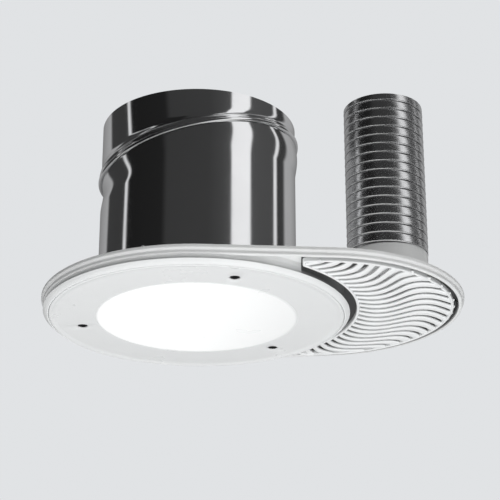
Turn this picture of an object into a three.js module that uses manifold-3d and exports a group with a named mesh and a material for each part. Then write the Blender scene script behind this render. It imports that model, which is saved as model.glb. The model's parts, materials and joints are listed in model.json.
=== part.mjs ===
// Combined ceiling fitting: the lower end of a tubular skylight with an air-extract vent beside it.
// Millimetres, +Z up. The light tube's axis is x = y = 0, the ceiling plane is z = 0, the vent is on +X.
import * as THREE from 'three';
import { mergeVertices } from 'three/addons/utils/BufferGeometryUtils.js';
import Module from 'manifold-3d';

const wasm = await Module();
wasm.setup();

// ---- driving dimensions ------------------------------------------------------------------
const GAP = 0.3; // between pieces that touch
const RUNNING_GAP = 0.5; // between sheet-metal pieces that turn on each other
const THROUGH = 50; // how far a cutting block runs past what it cuts

// light tube and its swivel elbow
const TUBE_R = 127;
const SHEET = 0.8;
const TUBE_TOP_Z = 240;
const ELBOW_Z = 190; // where the tube's axis meets the elbow's plane
const ELBOW_TILT = THREE.MathUtils.degToRad(12.5);
const LIP_REACH = 2.7; // turned-out lip of the lower tube
const LIP_HEIGHT = 2.9;
const BEAD_WALL = 0.9;
const RIDGE_REACH = 1.5;
const TUBE_SEAL_HEIGHT = 7;
const TUBE_SEAL_DROP = 2; // below the collar's top

// ceiling flange: a round end about the tube and a round end about the vent
const FLANGE_BORDER = 70; // from the tube to the flange's edge
const VENT_SETBACK = 43; // from the flange's round end back to the vent end's centre
const VENT_END_R = 185;
const RIM_WIDTH = 8;
const RIM_HEIGHT = 11;
const RIM_LIP = 4; // height of the rim's upper edge, above its cove
const RIM_COVE = 2.8; // how far the rim's side draws in below that edge
const SEAL_INSET = 2.6;
const SEAL_WIDTH = 3.8;
const SEAL_DEPTH = 1.5;
const PLATE_TOP_Z = -2.1;
const PLATE = 2;
const DISH_INSET = 5.5; // from the flange's edge to the side of its round tray
const DISH_Z = -15.5; // underside of the flange's flat web
const WEB = 3;
const LIGHT_LEDGE = 3; // how far the web reaches in under the tube
const COLLAR_TOP_Z = 24;
const COLLAR_WALL = 2.5;
const SEAL_ROOM = 3; // between tube and collar
const WELL_INSET = 4; // from the tray's side to the vent well
const TIP_SETBACK = 23.5; // from the vent end's centre to where the well's tips are cut off
const WALL = 1.5;
const WALL_TOP_Z = 1;

// diffuser stack
const SKIRT_INSET = 2.5; // the holder ring's edge inside the flange's
const RING_LIP = 7.25; // the holder ring's rim, outside the diffuser
const RING_DROP = 0.9; // from the flange's web down to the ring
const RING_WEB = 1.8;
const RING_STEP = 0.6; // thicker round the second lens
const RING_LAND = 6; // that carries the second lens
const LENS_THICK = 1.5;
const LENS_LIP = 1.4; // how far the diffuser's rolled edge stands below its face
const GASKET_INSET = 10.45;
const GASKET_WIDTH = 9;
const GASKET_HEIGHT = 1.5;
const INNER_LENS_LAP = 14; // past the flange's clear opening
const INNER_LENS = 1.5;
const INNER_LEDGE = 1;
const INNER_SEAL_INSET = 6.7;
const INNER_SEAL_WIDTH = 5;
const INNER_SEAL_DEPTH = 1;
const SCREW_STEP = 12; // from the second lens's edge to the diffuser's screws
const SCREW_ANGLES = [50, 170, 290];
const HEAD_R = 6.1;
const DIMPLE_ROOM = 0.3; // round a screw's head
const CUP_WALL = 1.2;
const CUP_FLOOR = 0.9;

// air vent
const GRILLE_GROOVE = 5.5; // between the flange rim and the grille
const GRILLE_STEP = 8.5; // between the holder ring's edge and the grille
const GRILLE_TIP_GAP = 1;
const GRILLE_Z = -13;
const GRILLE_BAND = 4;
const GRILLE_BAND_HEIGHT = 6;
const RIB_Z = -12;
const RIB_HEIGHT = 3.6;
const SLOT_PITCH = 4; // degrees about the tube's axis
const SLOT_WIDTH = 7;
const WAVE_SWING = 3.3; // degrees either way
const WAVE_LENGTH = 116;
const WAVE_CREST = 26; // from the grille's inner edge to the first crest
const WAVE_SHIFT = -0.7;
const CLIP_ANGLES = [-60, 0, 60];
const CLIP_WIDTH = 10;
const CLIP_SHEET = 0.6;

// air box, spigot, damper and duct
const DUCT_R = 52.4;
const DUCT_VALLEY = 1.3;
const DUCT_WALL = 0.8;
const DUCT_PITCH = 12.5;
const DUCT_TOP_Z = 272;
const DUCT_PLAY = 0.6; // between the duct and the nozzle inside it
const NOZZLE_WALL = 2.1;
const NOZZLE_LENGTH = 26.5;
const SPIGOT_STEP = 0.8; // the duct stands proud of the spigot
const SPIGOT_CLEAR = 5.9; // from the vent well's inner wall to the spigot
const SPIGOT_HEIGHT = 25.6; // from the roof to the shoulder that the duct rests on
const ROOF_Z = 36;
const ROOF = 2;
const EAR = 2;
const EAR_WIDTH = 8;
const HINGE_OFFSET = 8;
const HINGE_RISE = 16; // above the roof
const FLAP_ROOM = 2;
const FLAP = 1.2;
const PIN_R = 1.5;
const PIN_SEAT = 1.4; // each end of the pin goes this far into the wall
const BARREL_WALL = 1.4;
const SEAT = 1.4;
const SEAT_WIDTH = 3.4;
const SEAT_CLEAR = 2; // from the hinge's barrel

// fixings
const CEILING_SCREW_STEP = 18; // outside the diffuser's screws
const CEILING_SCREW_ANGLES = [110, 160, 200, 250];
const CEILING_SCREW_TOP_Z = 14;
const BOX_SCREW_INSET = 10; // from the vent well's inner wall
const BOX_SCREW_ANGLES = [-35, 0, 35];
const SHANK_R = 2;
const BOSS_R = 4.8;
const SMALL_HEAD_R = 4.5;
const SMALL_HEAD = 2.4;
const CEILING_HEAD_DEPTH = 1.8;
const HEAD_PROUD = 0.2;
const DIFFUSER_BOSS_TOP_Z = -2.5;
const BLIND_HOLE_TOP_Z = -3.3;
const DIFFUSER_SCREW_TIP_Z = -4;
const BOX_SCREW_TIP_Z = -7;
const RECESS_WIDTH = 1;
const RECESS_DEPTH = 1;

// facets round a full turn
const TUBE_SEGMENTS = 60;
const DUCT_SEGMENTS = 24;
const RIM_SEGMENTS = 48;
const CUP_SEGMENTS = 12;
const SMALL_SEGMENTS = 10;

// ---- sizes that follow from them -----------------------------------------------------------
const FLANGE_R = TUBE_R + FLANGE_BORDER;
const VENT_X = FLANGE_R - VENT_SETBACK;
const DISH_R = FLANGE_R - DISH_INSET;
const WEB_TOP_Z = DISH_Z + WEB;
const LIGHT_R = TUBE_R - LIGHT_LEDGE; // clear opening under the tube
const COLLAR_R = TUBE_R + SEAL_ROOM;
const COLLAR_OUTER_R = COLLAR_R + COLLAR_WALL;
const WELL_R = DISH_R - WELL_INSET; // the web's edge inside the vent well
const WELL_X = VENT_X - TIP_SETBACK;
const WELL_OUTER_R = VENT_END_R - RIM_WIDTH;

const SKIRT_R = FLANGE_R - SKIRT_INSET;
const LENS_R = SKIRT_R - RING_LIP - GAP;
const RING_WEB_TOP_Z = DISH_Z - RING_DROP;
const RING_WEB_Z = RING_WEB_TOP_Z - RING_WEB;
const LEDGE_TOP_Z = RING_WEB_Z - RING_STEP + INNER_LEDGE;
const LENS_TOP_Z = RING_WEB_Z - GASKET_HEIGHT - 2 * GAP;
const LENS_FACE_Z = LENS_TOP_Z - LENS_THICK;
const LENS_Z = LENS_FACE_Z - LENS_LIP;
const GASKET_R = LENS_R - GASKET_INSET;
const INNER_LENS_R = LIGHT_R + INNER_LENS_LAP;
const INNER_SEAL_R = INNER_LENS_R - INNER_SEAL_INSET;
const SCREW_CIRCLE_R = INNER_LENS_R + SCREW_STEP;
const POCKET_R = HEAD_R + DIMPLE_ROOM;
const CUP_TOP_Z = RING_WEB_Z - GAP;
const DIMPLE_FLOOR_Z = CUP_TOP_Z - CUP_FLOOR;

const GRILLE_INNER_R = SKIRT_R + GRILLE_STEP;
const GRILLE_TIP_X = WELL_X + GRILLE_TIP_GAP;
const GRILLE_R = WELL_OUTER_R - GRILLE_GROOVE;

const NOZZLE_R = DUCT_R - DUCT_VALLEY - DUCT_WALL - DUCT_PLAY;
const BORE_R = NOZZLE_R - NOZZLE_WALL;
const SPIGOT_R = DUCT_R - SPIGOT_STEP;
const SPIGOT_X = WELL_R + SPIGOT_R + SPIGOT_CLEAR;
const SHOULDER_Z = ROOF_Z + SPIGOT_HEIGHT;
const HINGE_X = SPIGOT_X - HINGE_OFFSET;
const HINGE_Z = ROOF_Z + HINGE_RISE;
const FLAP_R = BORE_R - FLAP_ROOM;
const BARREL_R = PIN_R + GAP + BARREL_WALL;
const PIN_REACH = Math.sqrt(BORE_R ** 2 - HINGE_OFFSET ** 2) + PIN_SEAT;
const BOX_BASE_Z = WALL_TOP_Z + GAP;
const EAR_TOP_Z = BOX_BASE_Z + EAR;

const CEILING_SCREW_CIRCLE_R = SCREW_CIRCLE_R + CEILING_SCREW_STEP;
const BOX_SCREW_CIRCLE_R = WELL_R - BOX_SCREW_INSET;

// ---- materials ---------------------------------------------------------------------------
const paint = (name, color, roughness, metalness) =>
  Object.assign(new THREE.MeshStandardMaterial({ color, roughness, metalness }), { name });

const whitePlastic = paint('white_plastic', 0xeef0f0, 0.42, 0);
const opalAcrylic = paint('opal_acrylic', 0xfafafa, 0.3, 0);
const clearAcrylic = paint('clear_acrylic', 0xf2f6f6, 0.1, 0);
const mirrorSheet = paint('mirror_sheet', 0xd8dadc, 0.08, 1);
const ductFoil = paint('duct_foil', 0xb9bcbe, 0.28, 1);
const greyFoam = paint('grey_foam', 0x6f7376, 0.9, 0);
const darkSteel = paint('dark_steel', 0x3a3c3e, 0.4, 1);
const brightSteel = paint('bright_steel', 0xb4b7ba, 0.3, 1);

// ---- geometry helpers --------------------------------------------------------------------
const degrees = THREE.MathUtils.degToRad;
const polar = (r, angle) => [r * Math.cos(degrees(angle)), r * Math.sin(degrees(angle))];

// Merges shared vertices and turns the faces outwards.
function closed(geometry) {
  const bare = new THREE.BufferGeometry();
  bare.setAttribute('position', geometry.getAttribute('position').clone());
  if (geometry.index) bare.setIndex(geometry.index.clone());
  const merged = mergeVertices(bare, 1e-4);
  const p = merged.getAttribute('position');
  const kept = [];
  let volume = 0;
  const [a, b, c] = [new THREE.Vector3(), new THREE.Vector3(), new THREE.Vector3()];
  for (let i = 0; i < merged.index.count; i += 3) {
    const [i0, i1, i2] = [0, 1, 2].map((k) => merged.index.getX(i + k));
    if (i0 === i1 || i1 === i2 || i2 === i0) continue;
    kept.push(i0, i1, i2);
    a.fromBufferAttribute(p, i0);
    b.fromBufferAttribute(p, i1);
    c.fromBufferAttribute(p, i2);
    volume += a.dot(b.cross(c));
  }
  merged.setIndex(volume < 0 ? kept.reverse() : kept);
  return merged;
}

function toSolid(geometry) {
  const g = closed(geometry);
  return new wasm.Manifold(
    new wasm.Mesh({
      numProp: 3,
      vertProperties: new Float32Array(g.getAttribute('position').array),
      triVerts: new Uint32Array(g.index.array),
    }),
  );
}

function toGeometry(solid) {
  const mesh = solid.getMesh();
  const g = new THREE.BufferGeometry();
  g.setAttribute('position', new THREE.BufferAttribute(new Float32Array(mesh.vertProperties), 3));
  g.setIndex(Array.from(mesh.triVerts));
  return g;
}

const joined = (solids) => solids.reduce((whole, piece) => whole.add(piece));

// A profile of [radius, z] points turned about the z axis; the last point closes on the first.
function turned(profile, segments = TUBE_SEGMENTS) {
  const points = [...profile, profile[0]].map(([r, z]) => new THREE.Vector2(r, z));
  return new THREE.LatheGeometry(points, segments).rotateX(Math.PI / 2);
}

// A flat ring, or a disc when inner is 0.
function ring(inner, outer, low, high, segments = TUBE_SEGMENTS) {
  return turned([[inner, low], [outer, low], [outer, high], [inner, high]], segments);
}

function rod(radius, low, high, x = 0, y = 0, segments = SMALL_SEGMENTS) {
  const height = high - low;
  return new THREE.CylinderGeometry(radius, radius, height, segments)
    .rotateX(Math.PI / 2)
    .translate(x, y, low + height / 2);
}

function box(x0, x1, y0, y1, z0, z1) {
  return new THREE.BoxGeometry(x1 - x0, y1 - y0, z1 - z0)
    .translate((x0 + x1) / 2, (y0 + y1) / 2, (z0 + z1) / 2);
}

// The angle at which the flange's straight sides leave both of its round ends.
const tangentAngle = () => Math.acos((FLANGE_R - VENT_END_R) / VENT_X);

// A profile of [inset, z] points carried round the flange's outline. The facets of each round end
// are spread evenly between the points where the straight sides leave it.
function roundOutline(profile) {
  const g = closed(turned(profile.map(([inset, z]) => [FLANGE_R - inset, z]), RIM_SEGMENTS));
  const p = g.getAttribute('position');
  const turn = tangentAngle();
  const step = (2 * Math.PI) / RIM_SEGMENTS;
  const lastOnVent = Math.floor(turn / step) * step;
  for (let i = 0; i < p.count; i += 1) {
    const angle = Math.atan2(p.getY(i), p.getX(i));
    const size = Math.abs(angle);
    const inset = FLANGE_R - Math.hypot(p.getX(i), p.getY(i));
    const onVent = size < lastOnVent + step / 2;
    const radius = (onVent ? VENT_END_R : FLANGE_R) - inset;
    const spread = onVent
      ? (turn * size) / lastOnVent
      : Math.PI - ((Math.PI - turn) * (Math.PI - size)) / (Math.PI - lastOnVent - step);
    const moved = Math.sign(angle) * spread;
    p.setXY(i, (onVent ? VENT_X : 0) + radius * Math.cos(moved), radius * Math.sin(moved));
  }
  return g;
}

function outlinePlate(inset, low, high) {
  const shape = new THREE.Shape();
  const turn = tangentAngle();
  shape.absarc(0, 0, FLANGE_R - inset, turn, 2 * Math.PI - turn, false);
  shape.absarc(VENT_X, 0, VENT_END_R - inset, -turn, turn, false);
  const options = { depth: high - low, bevelEnabled: false, curveSegments: RIM_SEGMENTS / 2 };
  return new THREE.ExtrudeGeometry(shape, options).translate(0, 0, low);
}

// ---- swivel elbow ------------------------------------------------------------------------
// Rings near the elbow lie parallel to its tilted plane. Each profile point is
// { r, z } on a level ring, or { r, n, round } on a ring n above the tilted plane,
// which runs from the tube's own section (round 0) to a true circle about the swivel axis (round 1).
const NECK_R = TUBE_R / Math.cos(ELBOW_TILT);
const NECK_GROWTH = NECK_R - TUBE_R;

function tiltedPoint(entry, angle) {
  const { r, z, n, round } = entry;
  const x = r * Math.cos(angle);
  const y = r * Math.sin(angle);
  if (z !== undefined) return new THREE.Vector3(x, y, z);
  const [c, s] = [Math.cos(ELBOW_TILT), Math.sin(ELBOW_TILT)];
  const onTube = new THREE.Vector3(x, y, ELBOW_Z + (n + x * s) / c);
  const grown = r + NECK_GROWTH;
  const u = grown * Math.cos(angle);
  const onCircle = new THREE.Vector3(u * c - n * s, grown * Math.sin(angle), ELBOW_Z + u * s + n * c);
  return onTube.lerp(onCircle, round);
}

function tiltedTube(entries) {
  const g = closed(turned(entries.map((entry, row) => [entry.r, row]), TUBE_SEGMENTS));
  const p = g.getAttribute('position');
  for (let i = 0; i < p.count; i += 1) {
    const entry = entries[Math.round(p.getZ(i))];
    const point = tiltedPoint(entry, Math.atan2(p.getY(i), p.getX(i)));
    p.setXYZ(i, point.x, point.y, point.z);
  }
  return g;
}

function lowerTube() {
  const inner = TUBE_R - SHEET;
  const lipLow = -LIP_HEIGHT * 0.72;
  const lipHigh = lipLow + LIP_HEIGHT;
  return tiltedTube([
    { r: TUBE_R, z: DISH_Z + WEB + GAP },
    { r: TUBE_R, n: -15, round: 0 },
    { r: TUBE_R, n: -9, round: 0.55 },
    { r: TUBE_R, n: -5, round: 1 },
    { r: TUBE_R, n: lipLow, round: 1 },
    { r: TUBE_R + LIP_REACH, n: lipLow, round: 1 },
    { r: TUBE_R + LIP_REACH, n: lipHigh, round: 1 },
    { r: inner, n: lipHigh, round: 1 },
    { r: inner, n: -5, round: 1 },
    { r: inner, n: -9, round: 0.55 },
    { r: inner, n: -15, round: 0 },
    { r: inner, z: DISH_Z + WEB + GAP },
  ]);
}

// The upper tube is back to its own section this far above the bead.
const EASE = 11;

function upperTube() {
  const inner = TUBE_R - SHEET;
  const lipLow = -LIP_HEIGHT * 0.72;
  const lipHigh = lipLow + LIP_HEIGHT;
  const hollow = TUBE_R + LIP_REACH + GAP;
  const bead = hollow + BEAD_WALL;
  const under = lipLow - GAP;
  const over = lipHigh + GAP;
  return tiltedTube([
    { r: TUBE_R + RUNNING_GAP, n: under - BEAD_WALL, round: 1 },
    { r: bead - 0.9, n: under - BEAD_WALL, round: 1 },
    { r: bead, n: under + 0.7, round: 1 },
    { r: bead, n: over, round: 1 },
    { r: bead - 1.2, n: over + 1.8, round: 1 },
    { r: TUBE_R, n: over + 3.4, round: 1 },
    { r: TUBE_R + RIDGE_REACH, n: over + 5.6, round: 0.9 },
    { r: TUBE_R, n: over + 7.8, round: 0.7 },
    { r: TUBE_R, n: over + EASE, round: 0 },
    { r: TUBE_R, z: TUBE_TOP_Z },
    { r: inner, z: TUBE_TOP_Z },
    { r: inner, n: over + EASE, round: 0 },
    { r: inner, n: over + 3.4, round: 1 },
    { r: inner, n: over, round: 1 },
    { r: hollow, n: over, round: 1 },
    { r: hollow, n: under, round: 1 },
    { r: TUBE_R + RUNNING_GAP, n: under, round: 1 },
  ]);
}

function tubeSeal() {
  const top = COLLAR_TOP_Z - TUBE_SEAL_DROP;
  return ring(TUBE_R + GAP, COLLAR_R - 2 * GAP, top - TUBE_SEAL_HEIGHT, top);
}

// ---- ceiling flange ----------------------------------------------------------------------
function flangeRim() {
  return roundOutline([
    [0.6, 0],
    [0, -1.6],
    [0.4, -RIM_LIP],
    [RIM_COVE - 0.2, -RIM_LIP - 2.2],
    [RIM_COVE, -RIM_HEIGHT + 3],
    [RIM_COVE + 0.8, -RIM_HEIGHT + 0.8],
    [RIM_COVE + 2.2, -RIM_HEIGHT],
    [RIM_WIDTH - 1, -RIM_HEIGHT],
    [RIM_WIDTH, -RIM_HEIGHT + 1],
    [RIM_WIDTH, 0],
    [SEAL_INSET + SEAL_WIDTH, 0],
    [SEAL_INSET + SEAL_WIDTH, -SEAL_DEPTH],
    [SEAL_INSET, -SEAL_DEPTH],
    [SEAL_INSET, 0],
  ]);
}

// The round tray under the tube, with the collar that the tube turns in.
function flangeDish() {
  const edge = FLANGE_R - RIM_COVE;
  const sealHigh = INNER_SEAL_R + INNER_SEAL_WIDTH;
  return turned([
    [LIGHT_R, DISH_Z],
    [INNER_SEAL_R, DISH_Z],
    [INNER_SEAL_R, DISH_Z + INNER_SEAL_DEPTH],
    [sealHigh, DISH_Z + INNER_SEAL_DEPTH],
    [sealHigh, DISH_Z],
    [DISH_R - 1.5, DISH_Z],
    [DISH_R, DISH_Z + 1.2],
    [DISH_R + 1, (DISH_Z + PLATE_TOP_Z) / 2 - 0.1],
    [edge, PLATE_TOP_Z - PLATE],
    [edge, PLATE_TOP_Z],
    [DISH_R - WEB, PLATE_TOP_Z],
    [DISH_R - WEB, WEB_TOP_Z],
    [COLLAR_OUTER_R, WEB_TOP_Z],
    [COLLAR_OUTER_R, COLLAR_TOP_Z],
    [COLLAR_R, COLLAR_TOP_Z],
    [COLLAR_R, WEB_TOP_Z],
    [LIGHT_R, WEB_TOP_Z],
  ], RIM_SEGMENTS);
}

// The part of the vent end that lies inside outerR, outside innerR and beyond tipX.
function crescent(innerR, outerR, tipX, low, high) {
  const blank = toSolid(rod(outerR, low, high, VENT_X, 0, RIM_SEGMENTS));
  const reach = VENT_X + outerR + 1;
  return blank
    .subtract(toSolid(rod(innerR, low - 1, high + 1, 0, 0, RIM_SEGMENTS)))
    .intersect(toSolid(box(tipX, reach, -outerR - 1, outerR + 1, low, high)));
}

const boxScrewPlaces = BOX_SCREW_ANGLES.map((angle) => polar(BOX_SCREW_CIRCLE_R, angle));
const ceilingScrewPlaces = CEILING_SCREW_ANGLES.map((angle) => polar(CEILING_SCREW_CIRCLE_R, angle));
const diffuserScrewPlaces = SCREW_ANGLES.map((angle) => polar(SCREW_CIRCLE_R, angle));

function ceilingFlange() {
  const bosses = [
    ...diffuserScrewPlaces.map(([x, y]) => rod(BOSS_R, DISH_Z + 1, DIFFUSER_BOSS_TOP_Z, x, y)),
    ...ceilingScrewPlaces.map(([x, y]) => rod(BOSS_R, DISH_Z + 1, -GAP, x, y)),
    ...boxScrewPlaces.map(([x, y]) => rod(BOSS_R, DISH_Z + 1, WALL_TOP_Z, x, y)),
  ];
  const holes = [
    ...diffuserScrewPlaces.map(([x, y]) => rod(SHANK_R + GAP, DISH_Z - 1, BLIND_HOLE_TOP_Z, x, y)),
    ...ceilingScrewPlaces.map(([x, y]) => rod(SHANK_R + GAP, DISH_Z - 1, 1, x, y)),
    ...ceilingScrewPlaces.map(([x, y]) =>
      rod(SMALL_HEAD_R + GAP, DISH_Z - 1, DISH_Z + CEILING_HEAD_DEPTH, x, y)),
    ...boxScrewPlaces.map(([x, y]) => rod(SHANK_R + GAP, BOX_SCREW_TIP_Z - 1, WALL_TOP_Z + 1, x, y)),
  ];
  const plate = toSolid(outlinePlate(RIM_WIDTH - 1, PLATE_TOP_Z - PLATE, PLATE_TOP_Z))
    .subtract(toSolid(rod(DISH_R + 1, -THROUGH, THROUGH, 0, 0, RIM_SEGMENTS)));
  const well = crescent(WELL_R, WELL_OUTER_R, WELL_X, -THROUGH, THROUGH);
  const innerWall = toSolid(ring(WELL_R - 2, WELL_R, WEB_TOP_Z - 1, WALL_TOP_Z, RIM_SEGMENTS))
    .intersect(toSolid(box(WELL_X - 10, WELL_R + 1, -WELL_R, WELL_R, -THROUGH, THROUGH)));
  const outerWall = crescent(WELL_R - 2, WELL_OUTER_R + WALL, WELL_X - WALL, PLATE_TOP_Z - PLATE, WALL_TOP_Z)
    .subtract(crescent(WELL_R - 4, WELL_OUTER_R, WELL_X, -THROUGH, THROUGH));
  return toGeometry(
    joined([toSolid(flangeRim()), plate, toSolid(flangeDish())])
      .subtract(well)
      .add(innerWall)
      .add(outerWall)
      .add(joined(bosses.map(toSolid)))
      .subtract(joined(holes.map(toSolid))),
  );
}

function ceilingSeal() {
  const from = SEAL_INSET + GAP;
  const to = SEAL_INSET + SEAL_WIDTH - GAP;
  return roundOutline([[from, -SEAL_DEPTH + GAP], [to, -SEAL_DEPTH + GAP], [to, 0], [from, 0]]);
}

// ---- diffuser stack ----------------------------------------------------------------------
function diffuserRing() {
  const hole = INNER_LENS_R - RING_LAND;
  const body = toSolid(turned([
    [hole, RING_WEB_Z - RING_STEP],
    [INNER_LENS_R + 3, RING_WEB_Z - RING_STEP],
    [INNER_LENS_R + 3, RING_WEB_Z],
    [LENS_R - 1.2, RING_WEB_Z],
    [LENS_R + 2 * GAP, LENS_FACE_Z + 0.8],
    [LENS_R + 2 * GAP, LENS_Z + 1],
    [LENS_R + 1.9, LENS_Z + 0.9],
    [SKIRT_R - 3, LENS_Z + 3.2],
    [SKIRT_R, RING_WEB_TOP_Z - 0.3],
    [SKIRT_R - 0.6, RING_WEB_TOP_Z],
    [INNER_LENS_R + GAP, RING_WEB_TOP_Z],
    [INNER_LENS_R + GAP, LEDGE_TOP_Z],
    [hole, LEDGE_TOP_Z],
  ], RIM_SEGMENTS));
  const holes = diffuserScrewPlaces.map(([x, y]) =>
    toSolid(rod(SHANK_R + GAP, RING_WEB_Z - 2, RING_WEB_TOP_Z + 2, x, y)));
  return toGeometry(body.subtract(joined(holes)));
}

function diffuserLens() {
  const disc = toSolid(turned([
    [0, LENS_FACE_Z],
    [LENS_R - 7, LENS_FACE_Z],
    [LENS_R - 4, LENS_Z + 0.3],
    [LENS_R - 2.4, LENS_Z],
    [LENS_R - 0.6, LENS_Z + 0.5],
    [LENS_R, LENS_Z + 1.6],
    [LENS_R, LENS_TOP_Z],
    [0, LENS_TOP_Z],
  ], RIM_SEGMENTS));
  const cups = diffuserScrewPlaces.map(([x, y]) =>
    toSolid(rod(POCKET_R + CUP_WALL, LENS_TOP_Z - 0.3, CUP_TOP_Z, x, y, CUP_SEGMENTS)));
  const pockets = diffuserScrewPlaces.map(([x, y]) =>
    toSolid(rod(POCKET_R, LENS_FACE_Z - 3, DIMPLE_FLOOR_Z, x, y, CUP_SEGMENTS)));
  const holes = diffuserScrewPlaces.map(([x, y]) =>
    toSolid(rod(SHANK_R + GAP, LENS_FACE_Z - 3, CUP_TOP_Z + 1, x, y)));
  return toGeometry(disc.add(joined(cups)).subtract(joined([...pockets, ...holes])));
}

const diffuserGasket = () =>
  ring(
    GASKET_R - GASKET_WIDTH / 2,
    GASKET_R + GASKET_WIDTH / 2,
    LENS_TOP_Z + GAP,
    RING_WEB_Z - GAP,
    RIM_SEGMENTS,
  );

const innerLens = () =>
  ring(0, INNER_LENS_R, LEDGE_TOP_Z + GAP, LEDGE_TOP_Z + GAP + INNER_LENS, RIM_SEGMENTS);

const innerLensSeal = () =>
  ring(
    INNER_SEAL_R + GAP,
    INNER_SEAL_R + INNER_SEAL_WIDTH - GAP,
    LEDGE_TOP_Z + INNER_LENS + 2 * GAP,
    DISH_Z + INNER_SEAL_DEPTH - GAP,
    RIM_SEGMENTS,
  );

// ---- screws ------------------------------------------------------------------------------
// A pan-head screw; a tip below its head makes it point down.
function screw([x, y], headR, headFace, shoulder, tip) {
  const profile = [
    [0, headFace],
    [headR, headFace],
    [headR, shoulder],
    [SHANK_R, shoulder],
    [SHANK_R, tip],
    [0, tip],
  ];
  return turned(profile, SMALL_SEGMENTS).translate(x, y, 0);
}

// The screws that show have a cross recess.
function diffuserScrew([x, y]) {
  const face = LENS_FACE_Z + GAP;
  const reach = HEAD_R * 0.62;
  const half = RECESS_WIDTH / 2;
  const body = toSolid(screw([x, y], HEAD_R, face, DIMPLE_FLOOR_Z - GAP, DIFFUSER_SCREW_TIP_Z));
  const slot = (dx, dy) => toSolid(box(x - dx, x + dx, y - dy, y + dy, face - 1, face + RECESS_DEPTH));
  return toGeometry(body.subtract(slot(reach, half).add(slot(half, reach))));
}

const ceilingScrew = (place) =>
  screw(place, SMALL_HEAD_R, DISH_Z - HEAD_PROUD, DISH_Z + CEILING_HEAD_DEPTH - GAP, CEILING_SCREW_TOP_Z);
const boxScrew = (place) =>
  screw(place, SMALL_HEAD_R, EAR_TOP_Z + GAP + SMALL_HEAD, EAR_TOP_Z + GAP, BOX_SCREW_TIP_Z);

// ---- grille ------------------------------------------------------------------------------
// Slots lie on both sides of the middle one, up to the crescent's tips.
const TIP_ANGLE = THREE.MathUtils.radToDeg(Math.acos(GRILLE_TIP_X / GRILLE_INNER_R));
const SLOTS_EACH_SIDE = Math.floor(TIP_ANGLE / SLOT_PITCH);

// One wavy slot, counted from the middle one and longer than it needs to be at both ends.
function slotShape(index) {
  const centre = index * SLOT_PITCH + WAVE_SHIFT;
  const steps = 8;
  const reach = VENT_X + VENT_END_R - GRILLE_INNER_R;
  const line = Array.from({ length: steps + 1 }, (_, k) => GRILLE_INNER_R + (reach * k) / steps)
    .map((r) => {
      const phase = (2 * Math.PI * (r - GRILLE_INNER_R - WAVE_CREST)) / WAVE_LENGTH;
      return new THREE.Vector2(...polar(r, centre + WAVE_SWING * Math.cos(phase)));
    });
  const side = (sign) =>
    line.map((point, k) => {
      const along = line[Math.min(k + 1, steps)].clone().sub(line[Math.max(k - 1, 0)]).normalize();
      return new THREE.Vector2(-along.y, along.x).multiplyScalar((sign * SLOT_WIDTH) / 2).add(point);
    });
  return new THREE.Shape([...side(1), ...side(-1).reverse()]);
}

function ventGrille() {
  const inset = GRILLE_BAND + 0.5;
  const window = (low, high) =>
    crescent(GRILLE_INNER_R + inset, GRILLE_R - inset, GRILLE_TIP_X + inset, low, high);
  const bandTop = GRILLE_Z + GRILLE_BAND_HEIGHT;
  const frame = crescent(GRILLE_INNER_R, GRILLE_R, GRILLE_TIP_X, GRILLE_Z, bandTop)
    .subtract(window(GRILLE_Z - 1, RIB_Z))
    .subtract(window(RIB_Z + RIB_HEIGHT, bandTop + 1));
  const options = { depth: GRILLE_BAND_HEIGHT + 2, bevelEnabled: false };
  const slots = Array.from({ length: 2 * SLOTS_EACH_SIDE + 1 }, (_, k) =>
    toSolid(new THREE.ExtrudeGeometry(slotShape(k - SLOTS_EACH_SIDE), options).translate(0, 0, GRILLE_Z - 1)));
  return toGeometry(frame.subtract(joined(slots).intersect(window(GRILLE_Z - 2, bandTop + 2))));
}

// A leaf clip: a leg that stands on the grille's band, folded over towards the flange.
function grilleClip() {
  const leg = GRILLE_R - GRILLE_BAND / 2;
  const foot = GRILLE_Z + GRILLE_BAND_HEIGHT + GAP;
  const knee = WELL_OUTER_R - 3 * GAP;
  const top = WALL_TOP_Z - CLIP_SHEET / 2;
  const bend = foot + 0.45 * (top - foot);
  const points = [
    [leg - CLIP_SHEET, foot],
    [leg - CLIP_SHEET, top],
    [leg, top],
    [knee, bend],
    [knee - 2, foot + 0.6],
    [knee - 2.5, foot + 1],
    [knee - 1, bend],
    [leg, top - CLIP_SHEET],
    [leg, foot],
  ];
  const shape = new THREE.Shape(points.map(([r, z]) => new THREE.Vector2(r, z)));
  return new THREE.ExtrudeGeometry(shape, { depth: CLIP_WIDTH, bevelEnabled: false })
    .translate(0, 0, -CLIP_WIDTH / 2)
    .rotateX(Math.PI / 2);
}

// ---- air box, damper, duct ---------------------------------------------------------------
// A leaning cone from the vent end's outline up to the spigot.
function hopper(lowR, low, highR, high) {
  const g = new THREE.CylinderGeometry(highR, lowR, high - low, RIM_SEGMENTS).rotateX(Math.PI / 2);
  const p = g.getAttribute('position');
  for (let i = 0; i < p.count; i += 1) {
    p.setX(i, p.getX(i) + (p.getZ(i) > 0 ? SPIGOT_X : VENT_X));
    p.setZ(i, p.getZ(i) + (low + high) / 2);
  }
  return toSolid(g);
}

function spigot() {
  const profile = [
    [BORE_R, ROOF_Z - ROOF],
    [SPIGOT_R, ROOF_Z - ROOF],
    [SPIGOT_R, SHOULDER_Z - 1],
    [SPIGOT_R - 0.8, SHOULDER_Z],
    [NOZZLE_R, SHOULDER_Z],
    [NOZZLE_R, SHOULDER_Z + NOZZLE_LENGTH - 1],
    [NOZZLE_R - 0.8, SHOULDER_Z + NOZZLE_LENGTH],
    [BORE_R, SHOULDER_Z + NOZZLE_LENGTH],
  ];
  return toSolid(turned(profile, DUCT_SEGMENTS).translate(SPIGOT_X, 0, 0));
}

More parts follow.
